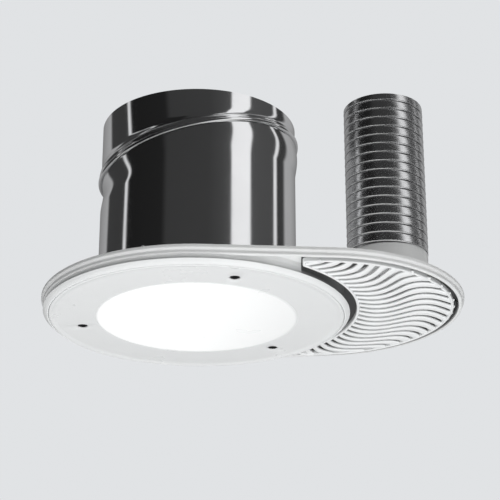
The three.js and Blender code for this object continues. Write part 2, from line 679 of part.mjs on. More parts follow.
// Half-ring stops: one under the flap's large side, one over its small side.
function seats() {
  const clear = BARREL_R + SEAT_CLEAR;
  const inner = BORE_R - SEAT_WIDTH;
  const band = (low) =>
    toSolid(ring(inner, BORE_R + 1, low, low + SEAT, DUCT_SEGMENTS).translate(SPIGOT_X, 0, 0));
  const reach = BORE_R + 2;
  const under = band(HINGE_Z - FLAP / 2 - GAP - SEAT)
    .intersect(toSolid(box(HINGE_X + clear, SPIGOT_X + reach, -reach, reach, 0, SHOULDER_Z)));
  const over = band(HINGE_Z + FLAP / 2 + GAP)
    .intersect(toSolid(box(SPIGOT_X - reach, HINGE_X - clear, -reach, reach, 0, SHOULDER_Z)));
  return under.add(over);
}

// A rod along Y at the damper's hinge.
const hingeRod = (radius, length) =>
  new THREE.CylinderGeometry(radius, radius, length, SMALL_SEGMENTS).translate(HINGE_X, 0, HINGE_Z);

function airBox() {
  const base = BOX_BASE_Z;
  const reach = VENT_X + VENT_END_R + THROUGH;
  const outer = hopper(WELL_OUTER_R + WALL, base, SPIGOT_R + ROOF, ROOF_Z)
    .subtract(toSolid(rod(WELL_R - 2, base - 1, ROOF_Z + 1, 0, 0, RIM_SEGMENTS)))
    .intersect(toSolid(box(WELL_X - WALL, reach, -reach, reach, base, ROOF_Z)));
  const inner = hopper(WELL_OUTER_R - 0.5, base - 0.5, SPIGOT_R - 1, ROOF_Z - ROOF)
    .subtract(toSolid(rod(WELL_R, base - 2, ROOF_Z + 1, 0, 0, RIM_SEGMENTS)))
    .intersect(toSolid(box(WELL_X, reach, -reach, reach, base - 1, ROOF_Z)));
  const bore = rod(BORE_R, ROOF_Z - 12, ROOF_Z + 8, SPIGOT_X, 0, DUCT_SEGMENTS);
  const ears = boxScrewPlaces.map(([x, y]) => toSolid(rod(BOSS_R + 1.2, base, EAR_TOP_Z, x, y)));
  const half = EAR_WIDTH / 2;
  const earLinks = BOX_SCREW_ANGLES.map((angle) =>
    toSolid(box(BOX_SCREW_CIRCLE_R, WELL_R - 1, -half, half, base, EAR_TOP_Z).rotateZ(degrees(angle))));
  const holes = boxScrewPlaces.map(([x, y]) => toSolid(rod(SHANK_R + GAP, base - 1, EAR_TOP_Z + 1, x, y)));
  const pockets = hingeRod(PIN_R + GAP, 2 * (PIN_REACH + 2 * GAP));
  return toGeometry(
    outer
      .subtract(inner)
      .subtract(toSolid(bore))
      .add(spigot())
      .add(seats())
      .add(joined([...ears, ...earLinks]))
      .subtract(joined([...holes, toSolid(pockets)])),
  );
}

const damperPin = () => hingeRod(PIN_R, 2 * PIN_REACH);

function damperFlap() {
  const disc = rod(FLAP_R, HINGE_Z - FLAP / 2, HINGE_Z + FLAP / 2, SPIGOT_X, 0, DUCT_SEGMENTS);
  const barrel = toSolid(hingeRod(BARREL_R, 1.4 * FLAP_R));
  return toGeometry(toSolid(disc).add(barrel).subtract(toSolid(hingeRod(PIN_R + GAP, 3 * FLAP_R))));
}

function airDuct() {
  const low = SHOULDER_Z + GAP;
  const turns = Math.round((DUCT_TOP_Z - low) / DUCT_PITCH);
  const pitch = (DUCT_TOP_Z - low) / turns;
  const valley = DUCT_R - DUCT_VALLEY;
  const inner = valley - DUCT_WALL;
  const outside = [[DUCT_R, low]];
  for (let k = 0; k < turns; k += 1) {
    outside.push([valley, low + pitch * (k + 0.5)]);
    outside.push([DUCT_R, low + pitch * (k + 1)]);
  }
  return turned([...outside, [inner, DUCT_TOP_Z], [inner, low]], DUCT_SEGMENTS).translate(SPIGOT_X, 0, 0);
}

// ---- assembly ----------------------------------------------------------------------------
const fitting = new THREE.Group();

function place(name, geometry, material, parent = fitting) {
  const mesh = new THREE.Mesh(closed(geometry), material.clone());
  mesh.name = name;
  parent.add(mesh);
  return mesh;
}

place('ceiling_flange', ceilingFlange(), whitePlastic);
place('ceiling_seal', ceilingSeal(), greyFoam);
place('tube_seal', tubeSeal(), greyFoam);
place('lower_tube', lowerTube(), mirrorSheet);
place('upper_tube', upperTube(), mirrorSheet);

place('diffuser_ring', diffuserRing(), whitePlastic);
place('diffuser_lens', diffuserLens(), opalAcrylic);
place('diffuser_gasket', diffuserGasket(), greyFoam);
place('inner_lens', innerLens(), clearAcrylic);
place('inner_lens_seal', innerLensSeal(), greyFoam);

place('vent_grille', ventGrille(), whitePlastic);
CLIP_ANGLES.forEach((angle, index) => {
  const stand = new THREE.Group();
  stand.position.set(VENT_X, 0, 0);
  stand.rotation.z = degrees(angle);
  fitting.add(stand);
  place(`grille_clip_${index + 1}`, grilleClip(), brightSteel, stand);
});

place('air_box', airBox(), whitePlastic);
place('air_duct', airDuct(), ductFoil);
place('damper_flap', damperFlap(), whitePlastic);
place('damper_pin', damperPin(), brightSteel);

diffuserScrewPlaces.forEach((spot, index) =>
  place(`diffuser_screw_${index + 1}`, diffuserScrew(spot), darkSteel));
ceilingScrewPlaces.forEach((spot, index) =>
  place(`ceiling_screw_${index + 1}`, ceilingScrew(spot), brightSteel));
boxScrewPlaces.forEach((spot, index) =>
  place(`air_box_screw_${index + 1}`, boxScrew(spot), brightSteel));

export default fitting;
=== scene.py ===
"""Looks of a tubular skylight's ceiling fitting with an air vent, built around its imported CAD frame.

Shapes are worked out in millimetres in the frame's axes and scaled to metres once, when a piece is made.
"""
import json
import logging
import math
from collections.abc import Callable, Iterable, Sequence
from dataclasses import dataclass, field
from enum import Enum

import bmesh
import bpy
from bmesh.types import BMesh
from mathutils import Matrix, Vector


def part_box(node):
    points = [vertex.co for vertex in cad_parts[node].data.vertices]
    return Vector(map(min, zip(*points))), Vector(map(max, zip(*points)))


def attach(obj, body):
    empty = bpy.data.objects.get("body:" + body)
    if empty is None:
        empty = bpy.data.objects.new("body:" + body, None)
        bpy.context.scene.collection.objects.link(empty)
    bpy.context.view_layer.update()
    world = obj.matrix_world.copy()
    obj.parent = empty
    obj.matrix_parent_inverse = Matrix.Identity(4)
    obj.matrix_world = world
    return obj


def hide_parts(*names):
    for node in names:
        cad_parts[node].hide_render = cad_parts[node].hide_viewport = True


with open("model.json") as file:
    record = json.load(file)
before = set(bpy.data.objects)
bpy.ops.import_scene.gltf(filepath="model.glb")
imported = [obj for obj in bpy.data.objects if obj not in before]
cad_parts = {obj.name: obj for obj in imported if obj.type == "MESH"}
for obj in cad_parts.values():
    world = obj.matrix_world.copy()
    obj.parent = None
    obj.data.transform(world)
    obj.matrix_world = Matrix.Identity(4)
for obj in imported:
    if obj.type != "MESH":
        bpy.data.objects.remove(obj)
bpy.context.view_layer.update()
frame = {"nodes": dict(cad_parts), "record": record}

log = logging.getLogger("skylight_fitting")

MM = 0.001
GAP = 0.3
FAR = 50.0
FULL_TURN = 2 * math.pi
Point = tuple[float, float]
Corner = tuple[float, ...]
Colour = tuple[float, float, float]
Socket = bpy.types.NodeSocket
Row = tuple[float, float, float | None]


class Body(Enum):
    """The bodies of the frame that pieces ride on."""

    FITTING = "fitting"
    LOWER = "lower_tube"
    UPPER = "upper_tube"
    DAMPER = "damper"
    GRILLE = "grille"


class Cut(Enum):
    """How one solid changes another."""

    JOIN = "UNION"
    REMOVE = "DIFFERENCE"
    KEEP = "INTERSECT"


class Side(Enum):
    """The two ends of a frame node's box along an axis."""

    LOW = 0
    HIGH = 1


def edge(node: str, axis: str, side: Side) -> float:
    """Returns where a frame node ends along an axis, in millimetres."""
    return round(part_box(node)[side.value]["xyz".index(axis)] / MM, 3)


# ---- shaping tools -------------------------------------------------------------------------


def polar(radius: float, angle: float) -> Point:
    """Returns the plan point at a radius and an angle in degrees about the tube's axis."""
    turn = math.radians(angle)
    return radius * math.cos(turn), radius * math.sin(turn)


def filleted(corners: Sequence[Corner], steps: int = 4) -> list[Point]:
    """Rounds the corners of a closed outline.

    Args:
        corners: Points as (x, y) or (x, y, fillet radius), in order round the outline.
        steps: Segments in each fillet's arc.

    Returns:
        The outline's points with each fillet as an arc.
    """
    outline: list[Point] = []
    for index, corner in enumerate(corners):
        here = Vector(corner[:2])
        radius = corner[2] if len(corner) > 2 else 0.0
        before = Vector(corners[index - 1][:2]) - here
        after = Vector(corners[(index + 1) % len(corners)][:2]) - here
        half = before.angle(after) / 2 if before.length * after.length > 0 else math.pi / 2
        if radius <= 0 or abs(half - math.pi / 2) < 1e-3:
            outline.append(tuple(here))
            continue
        reach = min(radius / math.tan(half), before.length * 0.49, after.length * 0.49)
        radius = reach * math.tan(half)
        centre = here + (before.normalized() + after.normalized()).normalized() * (radius / math.sin(half))
        first = here + before.normalized() * reach - centre
        last = here + after.normalized() * reach - centre
        sweep = first.angle_signed(last)
        for step in range(steps + 1):
            turn = -sweep * step / steps
            c, s = math.cos(turn), math.sin(turn)
            outline.append((centre.x + first.x * c - first.y * s, centre.y + first.x * s + first.y * c))
    return outline


def spun(profile: Sequence[Point], steps: int, centre: Point = (0.0, 0.0)) -> BMesh:
    """Turns a closed profile once about an upright axis.

    Args:
        profile: Points as (radius, height), in order round the profile.
        steps: Facets in the full turn.
        centre: Where the axis stands.

    Returns:
        The closed solid.
    """
    bm = bmesh.new()
    points = [bm.verts.new((radius, 0, height)) for radius, height in profile]
    edges = [bm.edges.new((points[k - 1], points[k])) for k in range(len(points))]
    bmesh.ops.spin(bm, geom=points + edges, cent=(0, 0, 0), axis=(0, 0, 1), dvec=(0, 0, 0),
                   angle=FULL_TURN, steps=steps, use_merge=True)
    bmesh.ops.remove_doubles(bm, verts=bm.verts, dist=1e-4)
    bmesh.ops.dissolve_degenerate(bm, edges=bm.edges, dist=1e-5)
    bmesh.ops.translate(bm, verts=bm.verts, vec=(*centre, 0))
    bmesh.ops.recalc_face_normals(bm, faces=bm.faces)
    return bm


def rod(radius: float, low: float, high: float, at: Point = (0.0, 0.0), steps: int = 32) -> BMesh:
    """Returns an upright rod between two heights."""
    bm = bmesh.new()
    bmesh.ops.create_cone(bm, cap_ends=True, segments=steps, radius1=radius, radius2=radius, depth=high - low)
    bmesh.ops.translate(bm, verts=bm.verts, vec=(*at, (low + high) / 2))
    return bm


def crossbar(radius: float, length: float, at: Vector, steps: int = 24) -> BMesh:
    """Returns a rod that lies along Y with its middle at a point."""
    bm = rod(radius, -length / 2, length / 2, steps=steps)
    for vert in bm.verts:
        vert.co = Vector((vert.co.x, vert.co.z, -vert.co.y)) + at
    return bm


def block(low: Sequence[float], high: Sequence[float]) -> BMesh:
    """Returns a box between two corners."""
    bm = bmesh.new()
    bmesh.ops.create_cube(bm, size=1)
    for vert in bm.verts:
        vert.co = Vector([(a + b) / 2 + c * (b - a) for a, b, c in zip(low, high, vert.co)])
    return bm


def leaning_cone(low_r: float, low: float, low_x: float, high_r: float, high: float, high_x: float) -> BMesh:
    """Returns a closed cone between two level circles whose centres needn't line up."""
    bm = bmesh.new()
    ring_edges = []
    for radius, height, x in ((low_r, low, low_x), (high_r, high, high_x)):
        made = bmesh.ops.create_circle(bm, cap_ends=True, segments=160, radius=radius)["verts"]
        bmesh.ops.translate(bm, verts=made, vec=(x, 0, height))
        ring_edges += {edge for vert in made for edge in vert.link_edges}
    bmesh.ops.bridge_loops(bm, edges=ring_edges)
    bmesh.ops.recalc_face_normals(bm, faces=bm.faces)
    return bm


def formed(columns: int, rows: int, place: Callable[[float, float], Vector]) -> BMesh:
    """Forms a sheet of quads into a shape and closes its seams and ends.

    Args:
        columns: Quads along the shape.
        rows: Quads round its section.
        place: Gives the point for (along, round), both from 0 to 1.

    Returns:
        The closed solid.
    """
    bm = bmesh.new()
    bmesh.ops.create_grid(bm, x_segments=columns, y_segments=rows, size=0.5)
    for vert in bm.verts:
        vert.co = place(vert.co.x + 0.5, vert.co.y + 0.5)
    bmesh.ops.remove_doubles(bm, verts=bm.verts, dist=1e-3)
    bmesh.ops.holes_fill(bm, edges=bm.edges, sides=0)
    bmesh.ops.recalc_face_normals(bm, faces=bm.faces)
    return bm


def merged(parts: Iterable[BMesh]) -> BMesh:
    """Returns one mesh that holds several separate solids, and frees them."""
    whole = bmesh.new()
    for part in parts:
        mesh = bpy.data.meshes.new("part")
        part.to_mesh(mesh)
        part.free()
        whole.from_mesh(mesh)
        bpy.data.meshes.remove(mesh)
    return whole


def carved(solid: BMesh, tool: BMesh, cut: Cut) -> BMesh:
    """Joins, cuts or trims a solid with another.

    Args:
        solid: The solid that changes. It is freed.
        tool: The other solid. It is freed.
        cut: What happens between them.

    Returns:
        The changed solid.
    """
    stands = []
    for name, bm in (("solid", solid), ("tool", tool)):
        mesh = bpy.data.meshes.new(name)
        bm.to_mesh(mesh)
        bm.free()
        stand = bpy.data.objects.new(name, mesh)
        bpy.context.scene.collection.objects.link(stand)
        stands.append(stand)
    boolean = stands[0].modifiers.new("cut", "BOOLEAN")
    boolean.operation = cut.value
    boolean.object = stands[1]
    boolean.solver = "MANIFOLD"
    result = bpy.data.meshes.new_from_object(stands[0].evaluated_get(bpy.context.evaluated_depsgraph_get()))
    bm = bmesh.new()
    bm.from_mesh(result)
    bpy.data.meshes.remove(result)
    for stand in stands:
        mesh = stand.data
        bpy.data.objects.remove(stand)
        bpy.data.meshes.remove(mesh)
    if not bm.faces:
        raise RuntimeError("a cut left nothing")
    return bm


def worked(solid: BMesh, *steps: tuple[Cut, BMesh]) -> BMesh:
    """Joins, cuts or trims a solid with several others in order, and returns the result."""
    for cut, tool in steps:
        solid = carved(solid, tool, cut)
    return solid


def washer(inner: float, outer: float, low: float, high: float, fillet: float = 0.4) -> BMesh:
    """Returns a flat ring about the tube's axis with rounded edges."""
    corners = [(inner, low, fillet), (outer, low, fillet), (outer, high, fillet), (inner, high, fillet)]
    return spun(filleted(corners), 200)


# ---- finishes ------------------------------------------------------------------------------


class Nodes:
    """A node tree being built, with short ways to add and link nodes."""

    def __init__(self, tree: bpy.types.NodeTree) -> None:
        """Starts on an empty tree."""
        self.tree = tree
        tree.nodes.clear()

    def add(self, kind: str, settings: dict[str, object] | None = None, **inputs: object) -> bpy.types.Node:
        """Adds a node.

        Args:
            kind: The node's type name.
            settings: Properties of the node itself.
            inputs: Socket values or source sockets, by socket name with underscores for spaces,
                or by position as i0, i1 and so on.

        Returns:
            The new node.
        """
        node = self.tree.nodes.new(kind)
        for name, value in (settings or {}).items():
            setattr(node, name, value)
        for name, value in inputs.items():
            by_place = name[0] == "i" and name[1:].isdigit()
            socket = node.inputs[int(name[1:])] if by_place else node.inputs[name.replace("_", " ")]
            if isinstance(value, Socket):
                self.tree.links.new(value, socket)
            else:
                socket.default_value = value
        return node

    def math(self, operation: str, *values: object) -> Socket:
        """Returns the result of a Math node on the given values or sockets."""
        node = self.add("ShaderNodeMath", {"operation": operation})
        for place, value in enumerate(values):
            if isinstance(value, Socket):
                self.tree.links.new(value, node.inputs[place])
            else:
                node.inputs[place].default_value = value
        return node.outputs[0]

    def link(self, source: Socket, node: bpy.types.Node, name: str) -> None:
        """Links a socket to a named input of a node."""
        self.tree.links.new(source, node.inputs[name])

    def spread(self, value: Socket, low: float, high: float,
               source: Point = (0.0, 1.0)) -> Socket:
        """Returns a value moved from its source range to the range from low to high."""
        node = self.add("ShaderNodeMapRange", None, Value=value, From_Min=source[0], From_Max=source[1],
                        To_Min=low, To_Max=high)
        return node.outputs["Result"]

    def blend(self, factor: Socket, first: Colour | Socket, second: Colour | Socket) -> Socket:
        """Returns a mix of two colours or sockets by a factor that changes over the surface."""
        ends = [end if isinstance(end, Socket) else (*end, 1) for end in (first, second)]
        node = self.add("ShaderNodeMix", {"data_type": "RGBA"}, i0=factor, i6=ends[0], i7=ends[1])
        return node.outputs[2]

    def from_upright(self, place: Socket) -> tuple[bpy.types.Node, Socket]:
        """Returns a place's split axes and its distance from the upright axis."""
        axes = self.add("ShaderNodeSeparateXYZ", None, Vector=place)
        flat = self.add("ShaderNodeCombineXYZ", None, X=axes.outputs["X"], Y=axes.outputs["Y"])
        length = self.add("ShaderNodeVectorMath", {"operation": "LENGTH"}, i0=flat.outputs[0])
        return axes, length.outputs["Value"]


class SharedEffects:
    """Shader node groups that several finishes use, each built once."""

    def __init__(self) -> None:
        """Starts with no group built."""
        self.made: dict[str, bpy.types.NodeTree] = {}

    def _start(self, name: str, inputs: Sequence[tuple[str, str, float | None]],
               outputs: Sequence[tuple[str, str]]) -> tuple[Nodes, bpy.types.Node, bpy.types.Node]:
        """Makes an empty group with its sockets and its input and output nodes."""
        tree = bpy.data.node_groups.new(name, "ShaderNodeTree")
        for label, kind, value in inputs:
            socket = tree.interface.new_socket(label, in_out="INPUT", socket_type=kind)
            if value is not None:
                socket.default_value = value
        for label, kind in outputs:
            tree.interface.new_socket(label, in_out="OUTPUT", socket_type=kind)
        nodes = Nodes(tree)
        return nodes, tree.nodes.new("NodeGroupInput"), tree.nodes.new("NodeGroupOutput")

    def _finish(self, name: str, nodes: Nodes, mask: Socket, out: bpy.types.Node) -> bpy.types.NodeTree:
        """Puts a mask out of a group and keeps the group."""
        nodes.link(mask, out, "Mask")
        self.made[name] = nodes.tree
        return nodes.tree

    @staticmethod
    def _upward(nodes: Nodes) -> Socket:
        """Returns how far a face looks up, from -1 to 1."""
        normal = nodes.add("ShaderNodeNewGeometry").outputs["Normal"]
        return nodes.add("ShaderNodeSeparateXYZ", None, Vector=normal).outputs["Z"]

    def mottle(self) -> bpy.types.NodeTree:
        """Returns the group that gives broad blotches and a fine grain over a surface."""
        if "mottle" in self.made:
            return self.made["mottle"]
        nodes, given, out = self._start(
            "mottle",
            [("Vector", "NodeSocketVector", None), ("Blotch Scale", "NodeSocketFloat", 20.0),
             ("Grain Scale", "NodeSocketFloat", 900.0)],
            [("Blotch", "NodeSocketFloat"), ("Grain", "NodeSocketFloat")])
        for label, scale, detail in (("Blotch", "Blotch Scale", 4.0), ("Grain", "Grain Scale", 2.0)):
            noise = nodes.add("ShaderNodeTexNoise", None, Vector=given.outputs["Vector"],
                              Scale=given.outputs[scale], Detail=detail, Roughness=0.6)
            value = nodes.spread(noise.outputs["Fac"], 0.0, 1.0, (0.3, 0.7))
            nodes.link(value, out, label)
        self.made["mottle"] = nodes.tree
        return nodes.tree

    def settled_dust(self) -> bpy.types.NodeTree:
        """Returns the group that masks where dust settles: on faces that look up, in patches."""
        if "settled dust" in self.made:
            return self.made["settled dust"]
        nodes, given, out = self._start(
            "settled dust",
            [("Vector", "NodeSocketVector", None), ("Amount", "NodeSocketFloat", 0.5)],
            [("Mask", "NodeSocketFloat")])
        facing = nodes.spread(self._upward(nodes), 0.0, 1.0, (0.35, 0.95))
        patches = nodes.add("ShaderNodeTexNoise", None, Vector=given.outputs["Vector"], Scale=35.0,
                            Detail=5.0, Roughness=0.65).outputs["Fac"]
        amount = nodes.math("MULTIPLY", nodes.spread(patches, 0.2, 1.0, (0.35, 0.65)), given.outputs["Amount"])
        return self._finish("settled dust", nodes, nodes.math("MULTIPLY", facing, amount), out)

    def passage_shade(self) -> bpy.types.NodeTree:
        """Returns the group that masks the walls of the vent's air passage, where painted shade darkens the
        hidden hollow.
        """
        if "painted passage shade" in self.made:
            return self.made["painted passage shade"]
        nodes, given, out = self._start(
            "painted passage shade",
            [("Vector", "NodeSocketVector", None), ("Well Radius", "NodeSocketFloat", 0.187),
             ("Vent X", "NodeSocketFloat", 0.154), ("Vent Radius", "NodeSocketFloat", 0.178),
             ("Tip X", "NodeSocketFloat", 0.13)],
            [("Mask", "NodeSocketFloat")])
        place = nodes.add("ShaderNodeSeparateXYZ", None, Vector=given.outputs["Vector"])
        x, y, z = (place.outputs[axis] for axis in "XYZ")
        from_vent = nodes.math("SUBTRACT", x, given.outputs["Vent X"])
        y_squared = nodes.math("MULTIPLY", y, y)
        spans = [nodes.math("SQRT", nodes.math("ADD", nodes.math("MULTIPLY", along, along), y_squared))
                 for along in (x, from_vent)]
        tests = (nodes.math("GREATER_THAN", spans[0], given.outputs["Well Radius"]),
                 nodes.math("LESS_THAN", spans[1], given.outputs["Vent Radius"]),
                 nodes.math("GREATER_THAN", x, given.outputs["Tip X"]),
                 nodes.math("LESS_THAN", z, 0.0345),
                 nodes.math("LESS_THAN", self._upward(nodes), 0.03),
                 nodes.spread(z, 0.0, 1.0, (-0.015, -0.0085)))
        mask = tests[0]
        for test in tests[1:]:
            mask = nodes.math("MULTIPLY", mask, test)
        return self._finish("painted passage shade", nodes, mask, out)


effects = SharedEffects()


class Finish:
    """A surface finish. Each one builds one material, the first time it is asked for."""

    name: str
    slot: str

    def material(self) -> bpy.types.Material:
        """Returns the finish's material."""
        found = bpy.data.materials.get(self.name)
        if found:
            return found
        material = bpy.data.materials.new(self.name)
        material.use_nodes = True
        nodes = Nodes(material.node_tree)
        place = nodes.add("ShaderNodeTexCoord").outputs["Object"]
        shader = nodes.add("ShaderNodeBsdfPrincipled")
        self.paint(nodes, place, shader)
        nodes.add("ShaderNodeOutputMaterial", None, Surface=shader.outputs[0])
        return material

    def paint(self, nodes: Nodes, place: Socket, shader: bpy.types.Node) -> None:
        """Builds the nodes that feed the shader."""
        raise NotImplementedError

    @staticmethod
    def mottle(nodes: Nodes, place: Socket, blotch: float, grain: float,
               stretch: Sequence[float] = (1, 1, 1)) -> bpy.types.Node:
        """Adds the mottle group, stretched by a scale along each axis."""
        mapped = nodes.add("ShaderNodeMapping", None, Vector=place, Scale=stretch).outputs[0]
        return nodes.add("ShaderNodeGroup", {"node_tree": effects.mottle()}, Vector=mapped,
                         Blotch_Scale=blotch, Grain_Scale=grain)

    @staticmethod
    def dust(nodes: Nodes, place: Socket, amount: float) -> Socket:
        """Adds the settled dust group and returns its mask."""
        node = nodes.add("ShaderNodeGroup", {"node_tree": effects.settled_dust()}, Vector=place, Amount=amount)
        return node.outputs["Mask"]

    @staticmethod
    def feed(nodes: Nodes, shader: bpy.types.Node, colour: Socket, rough: Socket, **plain: float) -> None:
        """Links the shader's colour and roughness and sets plain sockets, named with underscores for spaces."""
        nodes.link(colour, shader, "Base Color")
        nodes.link(rough, shader, "Roughness")
        for name, value in plain.items():
            shader.inputs[name.replace("_", " ")].default_value = value

    @staticmethod
    def bump(nodes: Nodes, shader: bpy.types.Node, height: Socket, depth_mm: float) -> None:
        """Feeds the shader's normal from a height that is depth_mm from low to high."""
        node = nodes.add("ShaderNodeBump", None, Height=height, Distance=depth_mm * MM, Strength=1.0)
        nodes.link(node.outputs[0], shader, "Normal")


@dataclass(frozen=True)
class WhitePlastic(Finish):
    """Satin white moulded plastic with a fine spark texture and dust on its upper faces; one copy paints shade
    on the walls of the air passage.
    """

    name: str = "white_plastic"
    light: Colour = (0.80, 0.81, 0.81)
    shade: Colour = (0.77, 0.775, 0.77)
    dust_colour: Colour = (0.52, 0.50, 0.46)
    # painted shade: the dark grey for the air passage's walls, where shade falls inside the hollow
    painted_shade: Colour = (0.15, 0.15, 0.15)
    passage_shade: bool = False
    slot: str = "white_plastic"

    def paint(self, nodes: Nodes, place: Socket, shader: bpy.types.Node) -> None:
        """Builds the nodes that feed the shader."""
        mottle = self.mottle(nodes, place, 14.0, 1600.0)
        colour = nodes.blend(mottle.outputs["Blotch"], self.light, self.shade)
        mask = self.dust(nodes, place, 0.35)
        colour = nodes.blend(mask, colour, self.dust_colour)
        # paints shade on the walls of the air passage, darkest high up inside the hollow
        if self.passage_shade:
            passage = nodes.add("ShaderNodeGroup", {"node_tree": effects.passage_shade()}, Vector=place)
            colour = nodes.blend(passage.outputs["Mask"], colour, self.painted_shade)
        rough = nodes.math("ADD", nodes.spread(mottle.outputs["Blotch"], 0.34, 0.44),
                           nodes.math("MULTIPLY", mask, 0.4))
        self.feed(nodes, shader, colour, rough, IOR=1.49, Coat_Weight=0.15, Coat_Roughness=0.12)
        self.bump(nodes, shader, mottle.outputs["Grain"], 0.02)


@dataclass(frozen=True)
class OpalLens(Finish):
    """Opal acrylic that glows where the light tube stands over it."""

    name: str = "opal_acrylic"
    tube_radius: float = 126.0
    softness: float = 5.0
    glow: float = 0.35
    slot: str = "opal_lens"

    def paint(self, nodes: Nodes, place: Socket, shader: bpy.types.Node) -> None:
        """Builds the nodes that feed the shader."""
        mottle = self.mottle(nodes, place, 9.0, 1200.0)
        colour = nodes.blend(mottle.outputs["Blotch"], (0.80, 0.81, 0.81), (0.78, 0.79, 0.79))
        self.feed(nodes, shader, colour, nodes.spread(mottle.outputs["Blotch"], 0.26, 0.33),
                  IOR=1.49, Emission_Strength=self.glow)
        across, radius = nodes.from_upright(place)
        edge = nodes.add("ShaderNodeMapRange", {"interpolation_type": "SMOOTHSTEP"}, Value=radius,
                         From_Min=(self.tube_radius + self.softness / 2) * MM,
                         From_Max=(self.tube_radius - self.softness / 2) * MM, To_Min=0.0, To_Max=1.0)
        drift = nodes.spread(across.outputs["X"], 1.0, 0.45, (-0.02, 0.13))
        cloud = nodes.spread(mottle.outputs["Blotch"], 0.94, 1.0)
        lit = nodes.math("MULTIPLY", nodes.math("MULTIPLY", edge.outputs[0], drift), cloud)
        glow = nodes.blend(lit, (0, 0, 0), (1.0, 0.995, 0.985))
        nodes.link(glow, shader, "Emission Color")


@dataclass(frozen=True)
class MirrorSheet(Finish):
    """Mirror-finished aluminium sheet with faint rolling lines."""

    name: str = "mirror_sheet"
    slot: str = "mirror_tube"

    def paint(self, nodes: Nodes, place: Socket, shader: bpy.types.Node) -> None:
        """Builds the nodes that feed the shader."""
        rolled = self.mottle(nodes, place, 60.0, 700.0, (1, 1, 0.04))
        smudges = self.mottle(nodes, place, 11.0, 150.0)
        colour = nodes.blend(smudges.outputs["Blotch"], (0.88, 0.885, 0.89), (0.83, 0.835, 0.84))
        rough = nodes.math("ADD", nodes.spread(rolled.outputs["Grain"], 0.055, 0.085),
                           nodes.spread(smudges.outputs["Blotch"], 0.0, 0.03))
        self.feed(nodes, shader, colour, rough, Metallic=1.0)
        self.bump(nodes, shader, rolled.outputs["Blotch"], 0.006)


@dataclass(frozen=True)
class DuctStrip(Finish):
    """Thin aluminium strip, wound and ribbed, with dents and streaks, and painted shade that darkens its
    grooves.
    """

    name: str = "duct_strip"
    centre_x: float = 245.0
    crest: float = 52.4
    slot: str = "duct_foil"

    def paint(self, nodes: Nodes, place: Socket, shader: bpy.types.Node) -> None:
        """Builds the nodes that feed the shader."""
        centred = nodes.add("ShaderNodeMapping", None, Vector=place,
                            Location=(-self.centre_x * MM, 0, 0)).outputs[0]
        radius = nodes.from_upright(centred)[1]
        raised = nodes.spread(radius, 0.0, 1.0, ((self.crest - 1.15) * MM, (self.crest - 0.76) * MM))
        mottle = self.mottle(nodes, centred, 45.0, 420.0, (1, 1, 2.5))
        bright = nodes.blend(mottle.outputs["Blotch"], (0.80, 0.805, 0.81), (0.72, 0.725, 0.73))
        # painted shade: below the strip's crest the seam grooves turn near black
        colour = nodes.blend(raised, (0.10, 0.10, 0.105), bright)
        self.feed(nodes, shader, colour, nodes.spread(mottle.outputs["Grain"], 0.21, 0.28), Metallic=1.0)
        self.bump(nodes, shader, mottle.outputs["Blotch"], 0.02)


@dataclass(frozen=True)
class Foam(Finish):
    """Closed-cell foam."""

    name: str = "grey_foam"
    slot: str = "foam_seal"

    def paint(self, nodes: Nodes, place: Socket, shader: bpy.types.Node) -> None:
        """Builds the nodes that feed the shader."""
        cells = nodes.add("ShaderNodeTexVoronoi", None, Vector=place, Scale=1400.0).outputs["Distance"]
        mottle = self.mottle(nodes, place, 60.0, 500.0)
        colour = nodes.blend(mottle.outputs["Blotch"], (0.075, 0.078, 0.082), (0.12, 0.122, 0.125))
        self.feed(nodes, shader, colour, nodes.spread(cells, 0.8, 0.98))
        self.bump(nodes, shader, cells, 0.25)


@dataclass(frozen=True)
class Steel(Finish):
    """Plated or blackened steel with patchy plating."""

    name: str = "bright_steel"
    light: Colour = (0.62, 0.63, 0.65)
    dark: Colour = (0.46, 0.47, 0.49)
    roughness: Point = (0.22, 0.38)
    slot: str = "bright_steel"

    def paint(self, nodes: Nodes, place: Socket, shader: bpy.types.Node) -> None:
        """Builds the nodes that feed the shader."""
        mottle = self.mottle(nodes, place, 260.0, 2600.0)
        colour = nodes.blend(mottle.outputs["Blotch"], self.light, self.dark)
        self.feed(nodes, shader, colour, nodes.spread(mottle.outputs["Grain"], *self.roughness), Metallic=1.0)
        self.bump(nodes, shader, mottle.outputs["Grain"], 0.01)


@dataclass(frozen=True)
class ClearAcrylic(Finish):
    """Clear acrylic with a faintly frosted, pebbled face."""

    name: str = "clear_acrylic"
    slot: str = "clear_lens"

    def paint(self, nodes: Nodes, place: Socket, shader: bpy.types.Node) -> None:
        """Builds the nodes that feed the shader."""
        pebbles = nodes.add("ShaderNodeTexVoronoi", {"feature": "SMOOTH_F1"}, Vector=place, Scale=330.0)
        mottle = self.mottle(nodes, place, 18.0, 900.0)
        colour = nodes.blend(mottle.outputs["Blotch"], (0.97, 0.98, 0.98), (0.93, 0.95, 0.95))
        self.feed(nodes, shader, colour, nodes.spread(mottle.outputs["Grain"], 0.10, 0.2),
                  Transmission_Weight=1.0, IOR=1.49)
        self.bump(nodes, shader, pebbles.outputs["Distance"], 0.25)


@dataclass(frozen=True)
class PaleFloor(Finish):
    """The studio's pale floor."""

    name: str = "pale_floor"
    slot: str = ""

    def paint(self, nodes: Nodes, place: Socket, shader: bpy.types.Node) -> None:
        """Builds the nodes that feed the shader."""
        mottle = self.mottle(nodes, place, 1.5, 60.0)
        colour = nodes.blend(mottle.outputs["Blotch"], (0.74, 0.75, 0.76), (0.72, 0.73, 0.74))
        self.feed(nodes, shader, colour, nodes.spread(mottle.outputs["Grain"], 0.7, 0.8))


# the white plastic with painted shade on the walls of the air passage
PASSAGE_SHADE_PLASTIC = WhitePlastic("white_plastic_air_way", passage_shade=True)
BLACK_STEEL = Steel("black_steel", (0.05, 0.05, 0.052), (0.02, 0.02, 0.022), (0.3, 0.5), "dark_screw")


# ---- pieces --------------------------------------------------------------------------------


